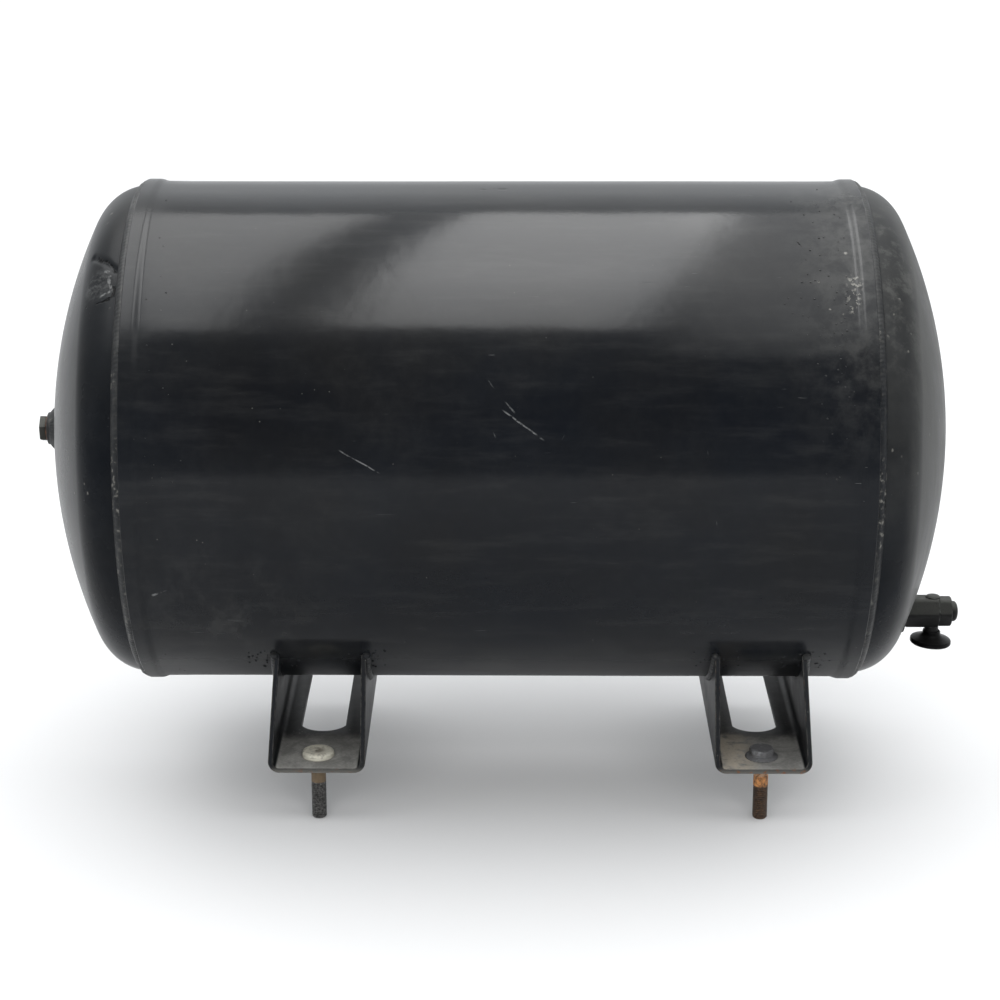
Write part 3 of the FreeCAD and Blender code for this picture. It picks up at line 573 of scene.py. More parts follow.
def foot_paint():
    g = material("foot_worn_paint_and_painted_light")
    dust, scratches = paint_layers(g, 0.07, 0.9)
    x = g.axis("X")
    y = g.axis("Y")
    z = g.axis("Z")
    # Floor of each foot, full at the front and down to 6% at the back: painted light on the front of the
    # floors and painted shade under the tank
    reach = g.plus(y, g.both(g.noise(0.016, 4.0, 0.6), 0.028))
    floor = g.both(g.step(g.axis("Z", g.normal), 0.75, 0.95), g.fall(z, 0.01, 0.02),
                   g.step(reach, 0.04, 0.066, 1.0, 0.06))
    grit = g.noise(0.0022, 6.0, 0.75)
    patch = g.blots(0.36, 0.62, 0.02, 5.0, 0.65, 0.9)
    # Pale floor colour: caked dust, raised as painted light and fading into painted shade towards the back
    caked = g.both(floor, g.plus(g.both(patch, 0.32), 0.62))
    # The right foot's floor is tan with dry mud on its left half; the mud fades with the floor mask into
    # painted shade under the tank
    mud_and_painted_light = g.both(floor, g.step(x, 0.1, 0.12), g.fall(x, 0.158, 0.176),
                   g.blots(0.3, 0.52, 0.01, 4.0, 0.6))
    fringe = g.both(g.fall(z, 0.004, 0.055), g.blots(0.48, 0.66, 0.014, 5.0, 0.6))
    edge = g.edges(0.0014, 0.015, 0.1)
    worn = g.both(edge, g.blots(0.4, 0.56, 0.005, 5.0, 0.65))
    front = g.both(g.fall(y, -0.0235, -0.0205), g.fall(z, 0.0, 0.006))
    rust = g.both(g.either(front, g.both(worn, 0.8)), g.blots(0.54, 0.64, 0.0045, 5.0, 0.65),
                  g.step(x, 0.0, 0.01, 0.35, 1.0))
    spots = g.both(g.fall(g.cells(0.004), 0.1, 0.22), g.blots(0.5, 0.64, 0.015, 3.0))
    tone = g.mix(g.noise(0.03, 4.0), BLACK, (0.0055, 0.0055, 0.0058, 1))
    # The pale and tan floors below are partly dust and mud and partly painted light, fading into painted
    # shade under the tank
    tone = g.coats(tone, (g.heaped(dust, (fringe, 0.05)), DUST),
                   (caked, g.mix(grit, (0.19, 0.19, 0.186, 1), (0.5, 0.49, 0.455, 1))),
                   (mud_and_painted_light, g.mix(grit, (0.34, 0.3, 0.24, 1), (0.66, 0.585, 0.48, 1)), 0.85),
                   (g.either(worn, scratches), PALE_DUST, 0.5), (front, PALE_DUST, 0.36),
                   (spots, PALE_DUST, 0.35), (rust, g.mix(g.noise(0.0016, 4.0), (0.07, 0.022, 0.008, 1),
                                                          (0.27, 0.105, 0.035, 1)), 0.9))
    rough = g.varied(0.34, 0.55, 0.02, 5.0, 0.6)
    rough = g.blend(g.either(caked, mud_and_painted_light, rust), rough, 0.85)
    g.bump((g.noise(0.0018, 3.0), 0.00004), (g.noise(0.018, 3.0), 0.00012),
           (g.both(g.either(caked, mud_and_painted_light, rust), grit), 0.00035))
    return g.finish(tone, rough, ior=PAINT_IOR)


def coated_steel_with_painted_top_light(name, base, high, dust_share, pitting):
    """Blackened steel of the plug and the valve: matt, dusty, bright on its worn edges, and lighter on the
    faces that look up as painted top light.
    """
    g = material(name)
    dust, scratches = paint_layers(g, dust_share, 0.8)
    up = upward(g)
    pits = g.fall(g.cells(0.0019), 0.1, 0.28)
    edge = g.both(g.edges(0.0009, 0.012, 0.1), g.blots(0.4, 0.58, 0.0035, 4.0))
    # Dust film, thicker on faces that look up, plus a painted top light that lightens every upward face
    film = g.heaped(g.both(dust, g.step(up, 0.0, 0.4, 0.4, 1.0)), (up, 0.42))
    tone = g.mix(g.noise(0.006, 5.0, 0.65), base, high)
    tone = g.coats(tone, (film, (0.125, 0.128, 0.115, 1)), (g.either(edge, scratches), SCRATCH, 0.45),
                   (g.both(pits, pitting), SOOT))
    rough = g.varied(0.38, 0.66, 0.004, 5.0)
    g.bump((g.noise(0.0011, 4.0, 0.65), 0.00012), (pits, -0.00008))
    return g.finish(tone, rough, ior=PAINT_IOR)


def rubber():
    g = material("nitrile_rubber")
    bloom = g.blots(0.42, 0.72, 0.004, 5.0, 0.6)
    tone = g.mix(bloom, grey(0.006), (0.045, 0.044, 0.042, 1))
    g.bump((g.noise(0.0007, 4.0), 0.00006))
    return g.finish(tone, g.blend(bloom, 0.55, 0.8))


def copper():
    g = material("dull_copper")
    tarnish = g.blots(0.35, 0.65, 0.003, 5.0, 0.6)
    tone = g.mix(tarnish, (0.2, 0.085, 0.045, 1), (0.035, 0.022, 0.016, 1))
    g.bump((g.noise(0.0008, 4.0), 0.00005))
    return g.finish(tone, g.blend(tarnish, 0.35, 0.7), metallic=g.blend(tarnish, 0.9, 0.35))


def turned_brass():
    g = material("turned_brass")
    rings = g.noise(0.0005, 2.0, 0.5, 0.0, g.stretched((0.08, 0.08, 1)))
    tone = g.mix(rings, (0.52, 0.37, 0.14, 1), (0.36, 0.24, 0.08, 1))
    g.bump((rings, 0.00002))
    return g.finish(tone, g.varied(0.22, 0.42, 0.003), metallic=1.0)


def spring_wire():
    g = material("spring_wire")
    drawn = g.noise(0.0006, 3.0, 0.5)
    tone = g.mix(drawn, (0.42, 0.42, 0.43, 1), grey(0.6))
    g.bump((drawn, 0.00001))
    return g.finish(tone, g.varied(0.22, 0.38, 0.002), metallic=1.0)


def button_plastic():
    g = material("button_plastic")
    dust, scratches = paint_layers(g, 0.16, 0.9)
    edge = g.both(g.edges(0.001, 0.02, 0.14), g.blots(0.45, 0.6, 0.003, 4.0))
    moulded = g.noise(0.0009, 3.0, 0.6)
    tone = g.mix(moulded, (0.0006, 0.0006, 0.0007, 1), (0.0014, 0.0014, 0.0015, 1))
    tone = g.coats(tone, (g.plus(g.both(dust, upward(g)), 0.002), DUST),
                   (g.either(edge, scratches), SCRATCH, 0.1))
    g.bump((moulded, 0.00004), (g.noise(0.006, 3.0), 0.00008))
    return g.finish(tone, g.varied(0.26, 0.44, 0.005, 4.0), ior=1.18)


def left_bolt_steel():
    """Dull zinc head with a brown middle; brown shank; dark thread."""
    g = material("dull_zinc_bolt")
    z = g.axis("Z")
    head = g.step(z, 0.003, 0.0042)
    thread = g.fall(z, -0.0175, -0.0165)
    grit = g.noise(0.0016, 6.0, 0.7)
    middle = g.both(g.spot((-FOOT_X, -0.001, 0.0095), 0.0078, 0.75, g.warped(0.004, 0.0016)),
                    g.blots(0.34, 0.56, 0.004, 4.0))
    zinc = g.mix(grit, (0.56, 0.54, 0.45, 1), (0.84, 0.81, 0.69, 1))
    zinc = g.coats(zinc, (middle, (0.115, 0.085, 0.06, 1), 0.7),
                   (g.step(g.noise(0.006, 4.0, 0.6, 0.8), 0.52, 0.68, 0.0, 0.55), (0.17, 0.15, 0.12, 1)))
    brown = g.mix(grit, (0.06, 0.04, 0.023, 1), (0.23, 0.16, 0.09, 1))
    dark = g.mix(g.step(grit, 0.4, 0.7), (0.016, 0.0155, 0.015, 1), (0.15, 0.146, 0.14, 1))
    tone = g.mix(thread, brown, dark)
    tone = g.coats(tone, (head, zinc))
    rough = g.varied(0.48, 0.75, 0.003, 5.0)
    g.bump((grit, 0.00012), (g.noise(0.0055, 3.0), 0.00025))
    return g.finish(tone, rough, metallic=g.both(head, 0.12))


def right_bolt_steel():
    """Dark grey head with bright worn facets; orange rust on the shank; brown thread."""
    g = material("rusted_bolt")
    z = g.axis("Z")
    head = g.step(z, 0.003, 0.0042)
    thread = g.fall(z, -0.0205, -0.019)
    grit = g.noise(0.0015, 6.0, 0.7)
    worn = g.either(g.both(g.edges(0.0012, 0.01, 0.08), g.blots(0.38, 0.54, 0.0026, 4.0)),
                    g.both(g.blots(0.56, 0.66, 0.005, 4.0, 0.6), head))
    black = g.mix(grit, (0.05, 0.05, 0.052, 1), (0.2, 0.2, 0.205, 1))
    black = g.coats(black, (worn, (0.36, 0.365, 0.375, 1), 0.75))
    orange = g.mix(g.blots(0.36, 0.64, 0.003, 5.0, 0.7), (0.085, 0.036, 0.016, 1),
                   (0.62, 0.27, 0.085, 1))
    ring = g.both(g.step(z, -0.0115, -0.0105), g.fall(z, -0.0085, -0.0075))
    orange = g.coats(orange, (g.both(ring, g.step(g.noise(0.003), 0.42, 0.6, 0.0, 0.6)),
                              (0.4, 0.33, 0.26, 1)))
    brown = g.mix(g.step(grit, 0.35, 0.72), (0.016, 0.011, 0.0085, 1), (0.12, 0.066, 0.036, 1))
    collar = g.step(z, -0.0045, -0.0025)
    tone = g.mix(thread, orange, brown)
    tone = g.coats(tone, (collar, (0.018, 0.014, 0.012, 1)), (head, black))
    rough = g.varied(0.5, 0.82, 0.003, 5.0)
    g.bump((grit, 0.0002), (g.noise(0.0045, 3.0), 0.00025))
    return g.finish(tone, rough, metallic=g.both(head, worn, 0.7))


MATERIALS = {
    "shell_paint": shell_paint(),
    "head_paint": head_paint(),
    "weld_paint": weld_paint(),
    "socket_paint": socket_paint(),
    "foot_paint": foot_paint(),
    "plug_steel": coated_steel_with_painted_top_light("plug_blackened_steel_painted_top_light", (0.01, 0.01, 0.009, 1),
                               (0.034, 0.034, 0.03, 1), 0.3, 0.5),
    "valve_paint": coated_steel_with_painted_top_light("valve_black_coating_painted_top_light", (0.0022, 0.0022, 0.0024, 1),
                                (0.007, 0.007, 0.0075, 1), 0.16, 0.4),
    "seal_copper": copper(),
    "seal_rubber": rubber(),
    "valve_brass": turned_brass(),
    "spring_steel": spring_wire(),
    "button_plastic": button_plastic(),
    "pale_zinc": left_bolt_steel(),
    "rusty_steel": right_bolt_steel(),
}
CAD_SLOT = {part["node"]: part["material_slot"] for part in frame["record"]["subparts"]}


def shown(obj, slot_name, *nodes, body="tank"):
    """Gives a finished piece its material, its body and the CAD nodes that it stands for."""
    obj.data.materials.clear()
    obj.data.materials.append(MATERIALS[slot_name])
    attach(obj, body)
    if nodes:
        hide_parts(*nodes)
    return obj


# ---------------- shell and heads

def dented_shell(points):
    """Slight waves of rolled sheet; the bells at the ends keep their size."""
    flat = np.clip((HALF_SHELL - BELL_LENGTH - BELL_TAPER - np.abs(points[:, 0])) / 0.02, 0, 1)
    outer = np.hypot(points[:, 1], points[:, 2]) > SHELL_R - 0.0015
    waves = field(points, 0.17, 1, (0.6, 1, 1)) * 0.00042 + field(points, 0.06, 2, (0.8, 1, 1)) * 0.00007
    return scaled_radius(points, waves * flat * outer)


def make_shell():
    bell = SHELL_R + BELL_RISE
    ease = [(HALF_SHELL - BELL_LENGTH - BELL_TAPER * (1 - i / 8),
             SHELL_R + BELL_RISE * (0.5 - 0.5 * math.cos(math.pi * i / 8))) for i in range(9)]
    right = ease + [(HALF_SHELL - 0.0004, bell), (HALF_SHELL, bell - 0.0004)]
    outer = [(-x, r) for x, r in reversed(right)] + right
    inner = [(HALF_SHELL, SHELL_R - SHEET + BELL_RISE), (HALF_SHELL - 0.015, SHELL_R - SHEET),
             (0.015 - HALF_SHELL, SHELL_R - SHEET), (-HALF_SHELL, SHELL_R - SHEET + BELL_RISE)]
    profile = subdivided(outer, 0.005) + subdivided(inner, 0.03)
    shell = turned("shell_sheet", profile, AT_TANK, around=360, closed=True, shape=dented_shell)
    open_ports(shell)
    return shown(shell, "shell_paint", "shell")


def open_ports(shell):
    """Round openings for the two rear sockets."""
    radius = PORT_R + 0.0002
    bm = bmesh.new()
    bm.from_mesh(shell.data)
    for port_x in (TANK.x - PORT_X, TANK.x + PORT_X):
        def away(p):
            return math.hypot(p.x - port_x, p.z - TANK.z)
        gone = [f for f in bm.faces if f.calc_center_median().y > TANK.y + 0.15
                and away(f.calc_center_median()) < radius]
        bmesh.ops.delete(bm, geom=gone, context="FACES")
        rim = [v for v in bm.verts if v.is_boundary and away(v.co) < radius * 1.6]
        for vert in rim:
            scale = radius / away(vert.co)
            vert.co.x = port_x + (vert.co.x - port_x) * scale
            vert.co.z = TANK.z + (vert.co.z - TANK.z) * scale
    bm.to_mesh(shell.data)
    bm.free()


def head_profile(thickness=0.0):
    join = math.degrees(math.atan2(HEAD_R - KNUCKLE_R, CROWN_RISE))
    knuckle = arc(HALF_SHELL, HEAD_R - KNUCKLE_R, KNUCKLE_R - thickness, 90, join, 34)
    crown = arc(CROWN_AT, 0, CROWN_R - thickness, join, 0, 80)
    return [(HEAD_SKIRT, HEAD_R - thickness), *knuckle, *crown[1:-1], (HEAD_TIP - thickness, 0)]


# The gouge on the left head: the path of its groove and the middle of its lifted lip
TORN = np.array([(-0.337, 0.022, 0.4), (-0.3255, 0.0075, 0.399), (-0.3168, -0.0025, 0.3955)])
FLAP = np.array((-0.3225, -0.01, 0.386))


def near_path(points, path):
    """Distance from each point to a path of straight pieces."""
    best = np.full(len(points), 1.0)
    for a, b in zip(path, path[1:]):
        share = np.clip(((points - a) @ (b - a)) / ((b - a) @ (b - a)), 0, 1)
        best = np.minimum(best, np.linalg.norm(points - a - share[:, None] * (b - a), axis=1))
    return best


def head_shape(knocked):
    """Shallow dents all over; on the left head also a gouge with a lifted lip below it."""
    def shape(points):
        waves = field(points, 0.09, 5 + knocked) * 0.0003 - 0.00012
        out = scaled_radius(points, waves * (points[:, 0] > HALF_SHELL + 0.006))
        if knocked:
            world = points * np.array([-1, -1, 1]) + np.array(TANK)
            groove = np.exp(-(near_path(world, TORN) / 0.0024) ** 2)
            lip = np.exp(-(np.linalg.norm(world - FLAP, axis=1) / 0.0085) ** 2)
            crumple = field(points, 0.006, 9) * lip
            out = scaled_radius(out, -0.002 * groove - 0.0006 * lip + 0.0008 * crumple)
        return out
    return shape


def make_head(name, node, matrix, knocked):
    inner = head_profile(SHEET)[::-1][::4] + [(HEAD_SKIRT, HEAD_R - SHEET)]
    head = turned(name, head_profile() + inner, matrix, around=640, shape=head_shape(knocked))
    return shown(head, "head_paint", node)


# ---------------- welds

def make_girth_weld(name, node, matrix, seed):
    toe = HEAD_R - KNUCKLE_R + math.sqrt(KNUCKLE_R ** 2 - 0.0056 ** 2)
    top = SHELL_R + BELL_RISE - 0.0004
    face = [(-0.0002, top - 0.0002), (0.0012, top - 0.0001), (0.0024, top - 0.0006),
            (0.0036, top - 0.0015), (0.0047, toe + 0.0013), (0.0056, toe)]
    back = [(0.003, HEAD_R - 0.0012), (-0.0002, HEAD_R - 0.0008)]
    profile = [(HALF_SHELL + x, r) for x, r in face + back]

    def ripple(points):
        angle = np.arctan2(points[:, 2], points[:, 1])
        wave = np.abs(np.sin(angle * 175 + (points[:, 0] - HALF_SHELL) * 260))
        proud = np.clip((np.hypot(points[:, 1], points[:, 2]) - HEAD_R) / 0.003, 0, 1)
        lumps = field(points, 0.012, seed) * 0.00045 + field(points, 0.045, seed + 3) * 0.00035
        out = scaled_radius(points, proud * np.minimum(lumps - 0.00035 + (wave - 0.6) * 0.00018, 0.0001))
        out[:, 0] += proud * (field(points, 0.016, seed + 1) * 0.0006 + wave * 0.0002)
        return out

    weld = turned(name, profile, matrix, around=1750, closed=True, shape=ripple)
    return shown(weld, "weld_paint", node)


def wall_x(side, outer, z):
    """X of the outer face of a foot's outer or inner wall, which leans towards the tank's middle."""
    slope = (0.02 if outer else 0.006) / TANK.z
    return side * (FOOT_X + (HALF_FOOT if outer else -HALF_FOOT) - slope * z)


def make_foot_bead(name, side, outer, seed):
    """Weld along the top of one foot wall, on its outer face."""
    count = 260
    lift = 0.0006
    path, radii = [], []
    for i in range(count):
        angle = math.radians(-45.5 + 91.0 * i / (count - 1))
        z = TANK.z - (SHELL_R + lift) * math.cos(angle)
        y = TANK.y + (SHELL_R + lift) * math.sin(angle)
        drift = noise.noise(Vector((i * 0.06, seed, 0.0))) * 0.0009
        path.append(Vector((wall_x(side, outer, z) + drift, y, z)))
        swell = noise.noise(Vector((i * 0.11, seed, 4.0)))
        ends = min(1.0, min(i, count - 1 - i) / 3.0 + 0.45)
        radii.append((0.003 + 0.0005 * swell) * ends)
    return tube(name, path, radii, sides=14, ripple=lambda i: 0.1 * abs(math.sin(i * 0.62)) - 0.05)


def make_foot_welds(name, node, side, seed):
    beads = joined(name, [make_foot_bead(name + "_a", side, True, seed),
                          make_foot_bead(name + "_b", side, False, seed + 2)])
    return shown(beads, "weld_paint", node)


def collar(name, node, radius, reach, rise, surface, matrix, seed):
    """A weld collar round a socket; surface(y, z) gives the local height of the plate under it."""
    around, steps = 260, 9
    inside = radius - 0.0003
    verts, faces = [], []
    for i in range(around):
        a = 2 * math.pi * i / around
        wobble = noise.noise(Vector((math.cos(a) * 2.2, math.sin(a) * 2.2, seed)))
        for k in range(steps):
            t = k / (steps - 1)
            r = inside + (reach + 0.0008 * wobble) * t
            y, z = r * math.cos(a), r * math.sin(a)
            swell = rise * (1 - t) ** 1.15 + 0.0009 * math.sin(math.pi * t)
            scallop = 0.0004 * abs(math.sin(a * around / 11.0)) * math.sin(math.pi * t)
            verts.append((surface(y, z) + swell + scallop - (0.0006 if k == steps - 1 else 0), y, z))
        y, z = inside * math.cos(a), inside * math.sin(a)
        verts.append((surface(y, z) - 0.002, y, z))
    width = steps + 1
    for i in range(around):
        j = (i + 1) % around
        for k in range(width):
            m = (k + 1) % width
            faces.append([i * width + k, j * width + k, j * width + m, i * width + m])
    weld = new_object(name, verts, faces, matrix)
    return shown(weld, "weld_paint", node)


def crown_height(y, z):
    return CROWN_AT + math.sqrt(CROWN_R ** 2 - y * y - z * z)


def make_seam():
    """Lengthwise weld of the shell, low on its rear side."""
    half = HALF_SHELL - BELL_LENGTH - BELL_TAPER
    half_width, seam_angle = 0.003, math.radians(-110)
    count = 400
    section = [(-1.0, -0.0004), (-0.6, 0.0007), (-0.2, 0.0011), (0.2, 0.0011), (0.6, 0.0007), (1.0, -0.0004)]
    rings = []
    for i in range(count):
        x = -half + 2 * half * i / (count - 1)
        wobble = noise.noise(Vector((x * 55, 0, 0))) * 0.0004
        ring = []
        for across, rise in section:
            lift = max(rise, 0) * (0.75 + 0.25 * abs(math.sin(i * 0.9 + across * across)))
            ring.append((x, across * half_width + wobble, SHELL_R + min(rise, 0) + lift))
        rings.append(ring)
    weld = lofted("shell_seam", rings, AT_TANK @ Matrix.Rotation(seam_angle, 4, "X"))
    return shown(weld, "weld_paint", "shell_seam_weld")


def droplet(bm, centre, normal, size):
    """A low round drop of spatter stuck to a surface."""
    turn = Vector(normal).to_track_quat("Z", "Y").to_matrix().to_4x4()
    shape = Matrix.Diagonal((size, size * rng.uniform(0.7, 1.0), size * 0.55, 1))
    place = Matrix.Translation(centre) @ turn @ shape
    bmesh.ops.create_icosphere(bm, subdivisions=2, radius=1.0, matrix=place)


def make_spatter():
    """Weld spatter near the ends of the foot welds and beside the girth welds."""
    bm = bmesh.new()
    for side in (-1, 1):
        for outer in (True, False):
            for _ in range(22):
                angle = math.radians(rng.uniform(-47, -36))
                z = TANK.z - SHELL_R * math.cos(angle)
                y = TANK.y + SHELL_R * math.sin(angle)
                x = wall_x(side, outer, z) + rng.choice((-1, 1)) * rng.uniform(0.004, 0.02)
                droplet(bm, (x, y, z), (0, math.sin(angle), -math.cos(angle)), rng.uniform(0.0004, 0.0011))
    for side, count, height, spread, biggest in (
            (1, 90, lambda: rng.gauss(44, 20), 0.022, 0.0008),
            (-1, 26, lambda: rng.uniform(-70, 80), 0.016, 0.0007)):
        for _ in range(count):
            angle = math.radians(height())
            x = TANK.x + side * (HALF_SHELL - 0.018 - abs(rng.gauss(0, spread)))
            y = TANK.y - SHELL_R * math.cos(angle)
            z = TANK.z + SHELL_R * math.sin(angle)
            droplet(bm, (x, y, z), (0, -math.cos(angle), math.sin(angle)), rng.uniform(0.0003, biggest))
    spatter = from_bmesh("weld_spatter", bm)
    tidy_normals(spatter)
    return shown(spatter, "weld_paint")


# ---------------- ports, plug and drain valve

def socket(name, node, radius, bore, inner, face, matrix):
    """A turned socket with broken edges and a threaded bore."""
    edge = 0.0007
    pitch = 0.0015
    outside = [(inner, bore + edge), (inner, radius - edge), (inner + edge, radius), (face - edge, radius),
               (face - edge * 0.3, radius - edge * 0.3), (face, radius - edge), (face, bore + edge)]
    thread, x = [], face - edge
    while x > inner + pitch:
        thread += [(x, bore), (x - pitch / 2, bore + 0.00045)]
        x -= pitch
    return shown(turned(name, outside + thread, matrix, around=128, closed=True), "socket_paint", node)


def make_ports():
    at_left = AT_TANK @ FLIP
    end_face = HEAD_TIP + 0.0103
    seal_end = end_face + 0.001
    socket("end_socket", "end_port_socket", 0.013, 0.00719, HEAD_TIP - 0.007, end_face, at_left)
    collar("end_socket_weld", "end_port_weld", 0.013, 0.0088, 0.009, crown_height, at_left, 3.0)
    ring = [(end_face, 0.0076), (end_face, 0.01), (end_face + 0.0005, 0.0102), (seal_end, 0.01),
            (seal_end, 0.0076)]
    shown(turned("end_seal_ring", ring, at_left, closed=True), "seal_copper", "end_port_seal")
    make_plug(at_left @ Matrix.Translation((seal_end, 0, 0)))
    for name, side, seed in (("supply", -1, 5.0), ("delivery", 1, 6.0)):
        turn = Matrix.Rotation(math.pi / 2, 4, "Z")
        place = Matrix.Translation(TANK + Vector((side * PORT_X, 0, 0))) @ turn
        socket(name + "_socket", name + "_port_socket", PORT_R, PORT_CORE_R,
               SHELL_R - 0.007, SHELL_R + 0.009, place)
        collar(name + "_socket_weld", name + "_port_weld", PORT_R, 0.005, 0.0045,
               lambda y, z: math.sqrt(SHELL_R ** 2 - z * z), place, seed)
    place = AT_TANK @ Matrix.Translation((0, 0, -DRAIN_DROP))
    socket("drain_socket", "drain_port_socket", PORT_R, PORT_CORE_R, 0.305, 0.331, place)
    collar("drain_socket_weld", "drain_port_weld", PORT_R, 0.0048, 0.0036,
           lambda y, z: crown_height(y, z - DRAIN_DROP), place, 8.0)


def make_plug(place):
    head = prism("plug_head", 0.019, 0.0, 0.0052, place, turn=math.radians(20), edge=0.0007)
    profile = [(-0.011, 0), (-0.011, 0.0062), (-0.0102, 0.0071), (-0.0002, 0.0071), (-0.0002, 0)]
    thread = turned("plug_thread", profile, place, around=64)
    shown(joined("end_plug", [head, thread]), "plug_steel", "end_port_plug")


def hex_nut_shape(name, flats, start, end, matrix, turn=0.0):
    """A hexagonal bar whose corners are turned down at its ends."""
    corner = flats / math.sqrt(3)
    drop = 0.0011
    # Distances from each end, and how far the corners are turned down there
    steps = [(0.0, drop * 1.5), (drop * 0.5, drop * 0.75), (drop, 0.0), (drop * 2, 0.0)]
    stations = [(start + x, corner - cut) for x, cut in steps] + [((start + end) / 2, corner)]
    stations += [(end - x, corner - cut) for x, cut in reversed(steps)]
    rings = []
    for x, limit in stations:
        ring = []
        for i in range(96):
            a = 2 * math.pi * i / 96
            within = (a - turn + math.pi / 6) % (math.pi / 3) - math.pi / 6
            flat = flats / 2 / math.cos(abs(within) - math.pi / 6)
            r = min(flat, limit, corner - 0.0006)
            ring.append((x, r * math.cos(a), r * math.sin(a)))
        rings.append(ring)
    return lofted(name, rings, matrix)


def make_drain_valve():
    seal = [(-0.0015, 0.0104), (-0.0015, 0.0133), (-0.00075, 0.0135), (0.0, 0.0133), (0.0, 0.0104)]
    shown(turned("drain_seal_ring", seal, AT_VALVE, closed=True), "seal_rubber", "drain_seal")
    front = hex_nut_shape("valve_hex", 0.0243, 0.0, 0.0271, AT_VALVE)
    nose = hex_nut_shape("valve_nose", 0.0226, 0.0268, 0.0375, AT_VALVE)
    tail = [(-0.02, 0.004), (-0.02, 0.0094), (-0.019, 0.0101), (0.0005, 0.0101), (0.0005, 0.004)]
    thread = turned("valve_thread", tail, AT_VALVE, around=64, closed=True)
    tube_end = [(-0.019, 0.0026), (-0.019, 0.0053), (-0.0186, 0.0057), (-0.0105, 0.0057), (-0.0105, 0.0026)]
    neck = turned("valve_neck", tube_end, AT_STEM, around=64, closed=True)
    shown(joined("valve_body", [front, nose, thread, neck]), "valve_paint", "drain_valve_body")
    cap = [(0.0375, 0.0), (0.0375, 0.0085), (0.04, 0.0084), (0.0412, 0.0079), (0.0421, 0.0068),
           (0.0427, 0.0054), (0.0431, 0.0038), (0.0431, 0.0)]
    shown(turned("valve_end_cap", cap, AT_VALVE, around=72), "valve_paint", "drain_end_cap")
    top = [(0.0118, 0.0), (0.0118, 0.006), (0.0128, 0.0059), (0.0135, 0.0051), (0.01385, 0.0036),
           (0.01395, 0.0018), (0.01395, 0.0)]
    shown(turned("valve_top_cap", top, AT_STEM, around=64), "valve_paint", "drain_top_cap")


def make_button():
    """Flared button, a little askew on its stem."""
    hub, rim = 0.00715, 0.01675
    outline = [(-0.0166, 0.0063), (-0.0166, hub - 0.0003), (-0.0169, hub), (-0.0188, hub + 0.0002),
               (-0.02, hub + 0.0009), (-0.0212, hub + 0.0026), (-0.0222, hub + 0.0055),
               (-0.0229, rim - 0.0024), (-0.0236, rim - 0.0006), (-0.0245, rim), (-0.0268, rim),
               (-0.0277, rim - 0.0007), (-0.0281, rim - 0.002), (-0.0282, 0.0095), (-0.0277, 0.008),
               (-0.0277, 0.0), (-0.0229, 0.0), (-0.0229, 0.0063)]
    askew = Matrix.Rotation(math.radians(4.0), 4, "Y")
    middle = Matrix.Translation((-0.0225, 0, 0))
    place = AT_STEM @ middle @ askew @ middle.inverted()
    shown(turned("push_button", outline, place), "button_plastic", "drain_button", body="drain_push")


# ---------------- feet and bolts

def make_feet():
    for name in ("left_foot", "right_foot"):
        shown(from_cad(name, name + "_channel", 0.0007), "foot_paint", name)


def threaded_shank(name, thread_top, place, seed):
    """Plain shank with a cut thread below it, down to a chamfered tip."""
    radius, pitch, depth = 0.006, 0.00175, 0.00075
    around = 48
    top, tip = FOOT_Z + 0.001, FLOOR_Z
    levels = [top, (top + thread_top) / 2, thread_top + pitch / 10]
    z = thread_top
    while z > tip:
        levels.append(z)
        z -= pitch / 10
    levels.append(tip)
    rings = []
    for level in levels:
        ring = []
        for i in range(around):
            a = 2 * math.pi * i / around
            rough = noise.noise(Vector((math.cos(a) * 2, math.sin(a) * 2, level * 300 + seed)))
            r = radius - 0.00015 + 0.0001 * rough
            if level < thread_top:
                phase = (level / pitch - a / (2 * math.pi)) % 1.0
                ridge = 1 - abs(phase - 0.5) * 2
                fade = min(1.0, (thread_top - level) / pitch)
                r -= depth * fade * (1 - min(1.0, ridge * 1.35))
            chamfer = max(0.0, 0.0014 - (level - tip))
            r = min(r, radius - chamfer)
            ring.append((r * math.cos(a), r * math.sin(a), level))
        rings.append(ring)
    return lofted(name, rings, place)


def make_left_bolt():
    place = Matrix.Translation((-FOOT_X, 0, 0))
    upright = place @ Matrix.Translation((0, 0, FOOT_Z)) @ X_TO_Z
    shank = threaded_shank("left_bolt_shank", -0.017, place, 1.0)
    profile = [(0.0, 0.0), (0.0, 0.0124), (0.0006, 0.0129), (0.0036, 0.0128), (0.0046, 0.012),
               (0.0052, 0.0102), (0.0053, 0.0075), (0.005, 0.0052), (0.0049, 0.0)]

    def worn(points):
        out = scaled_radius(points, field(points, 0.01, 13) * 0.0004 - 0.0003)
        out[:, 0] += (out[:, 0] > 0.004) * field(points, 0.008, 15) * 0.0003
        return out

    head = turned("left_bolt_head", subdivided(profile, 0.0008), upright, around=120, shape=worn)
    shown(joined("left_bolt", [shank, head]), "pale_zinc", "left_foot_bolt", body="left_bolt")


def make_right_bolt():
    place = Matrix.Translation((FOOT_X, 0, 0))
    upright = place @ Matrix.Translation((0, 0, FOOT_Z)) @ X_TO_Z
    shank = threaded_shank("right_bolt_shank", -0.0195, place, 2.0)
    flange = [(0.0, 0.0), (0.0, 0.0126), (0.0005, 0.0129), (0.001, 0.0128), (0.0018, 0.0112),
              (0.0024, 0.01), (0.0024, 0.0)]
    skirt = turned("right_bolt_flange", flange, upright)
    crown = hex_nut_shape("right_bolt_hex", 0.018, 0.0018, 0.0076, upright, math.radians(8))
    shown(joined("right_bolt", [shank, skirt, crown]), "rusty_steel", "right_foot_bolt", body="right_bolt")


# ---------------- stage, lights and camera

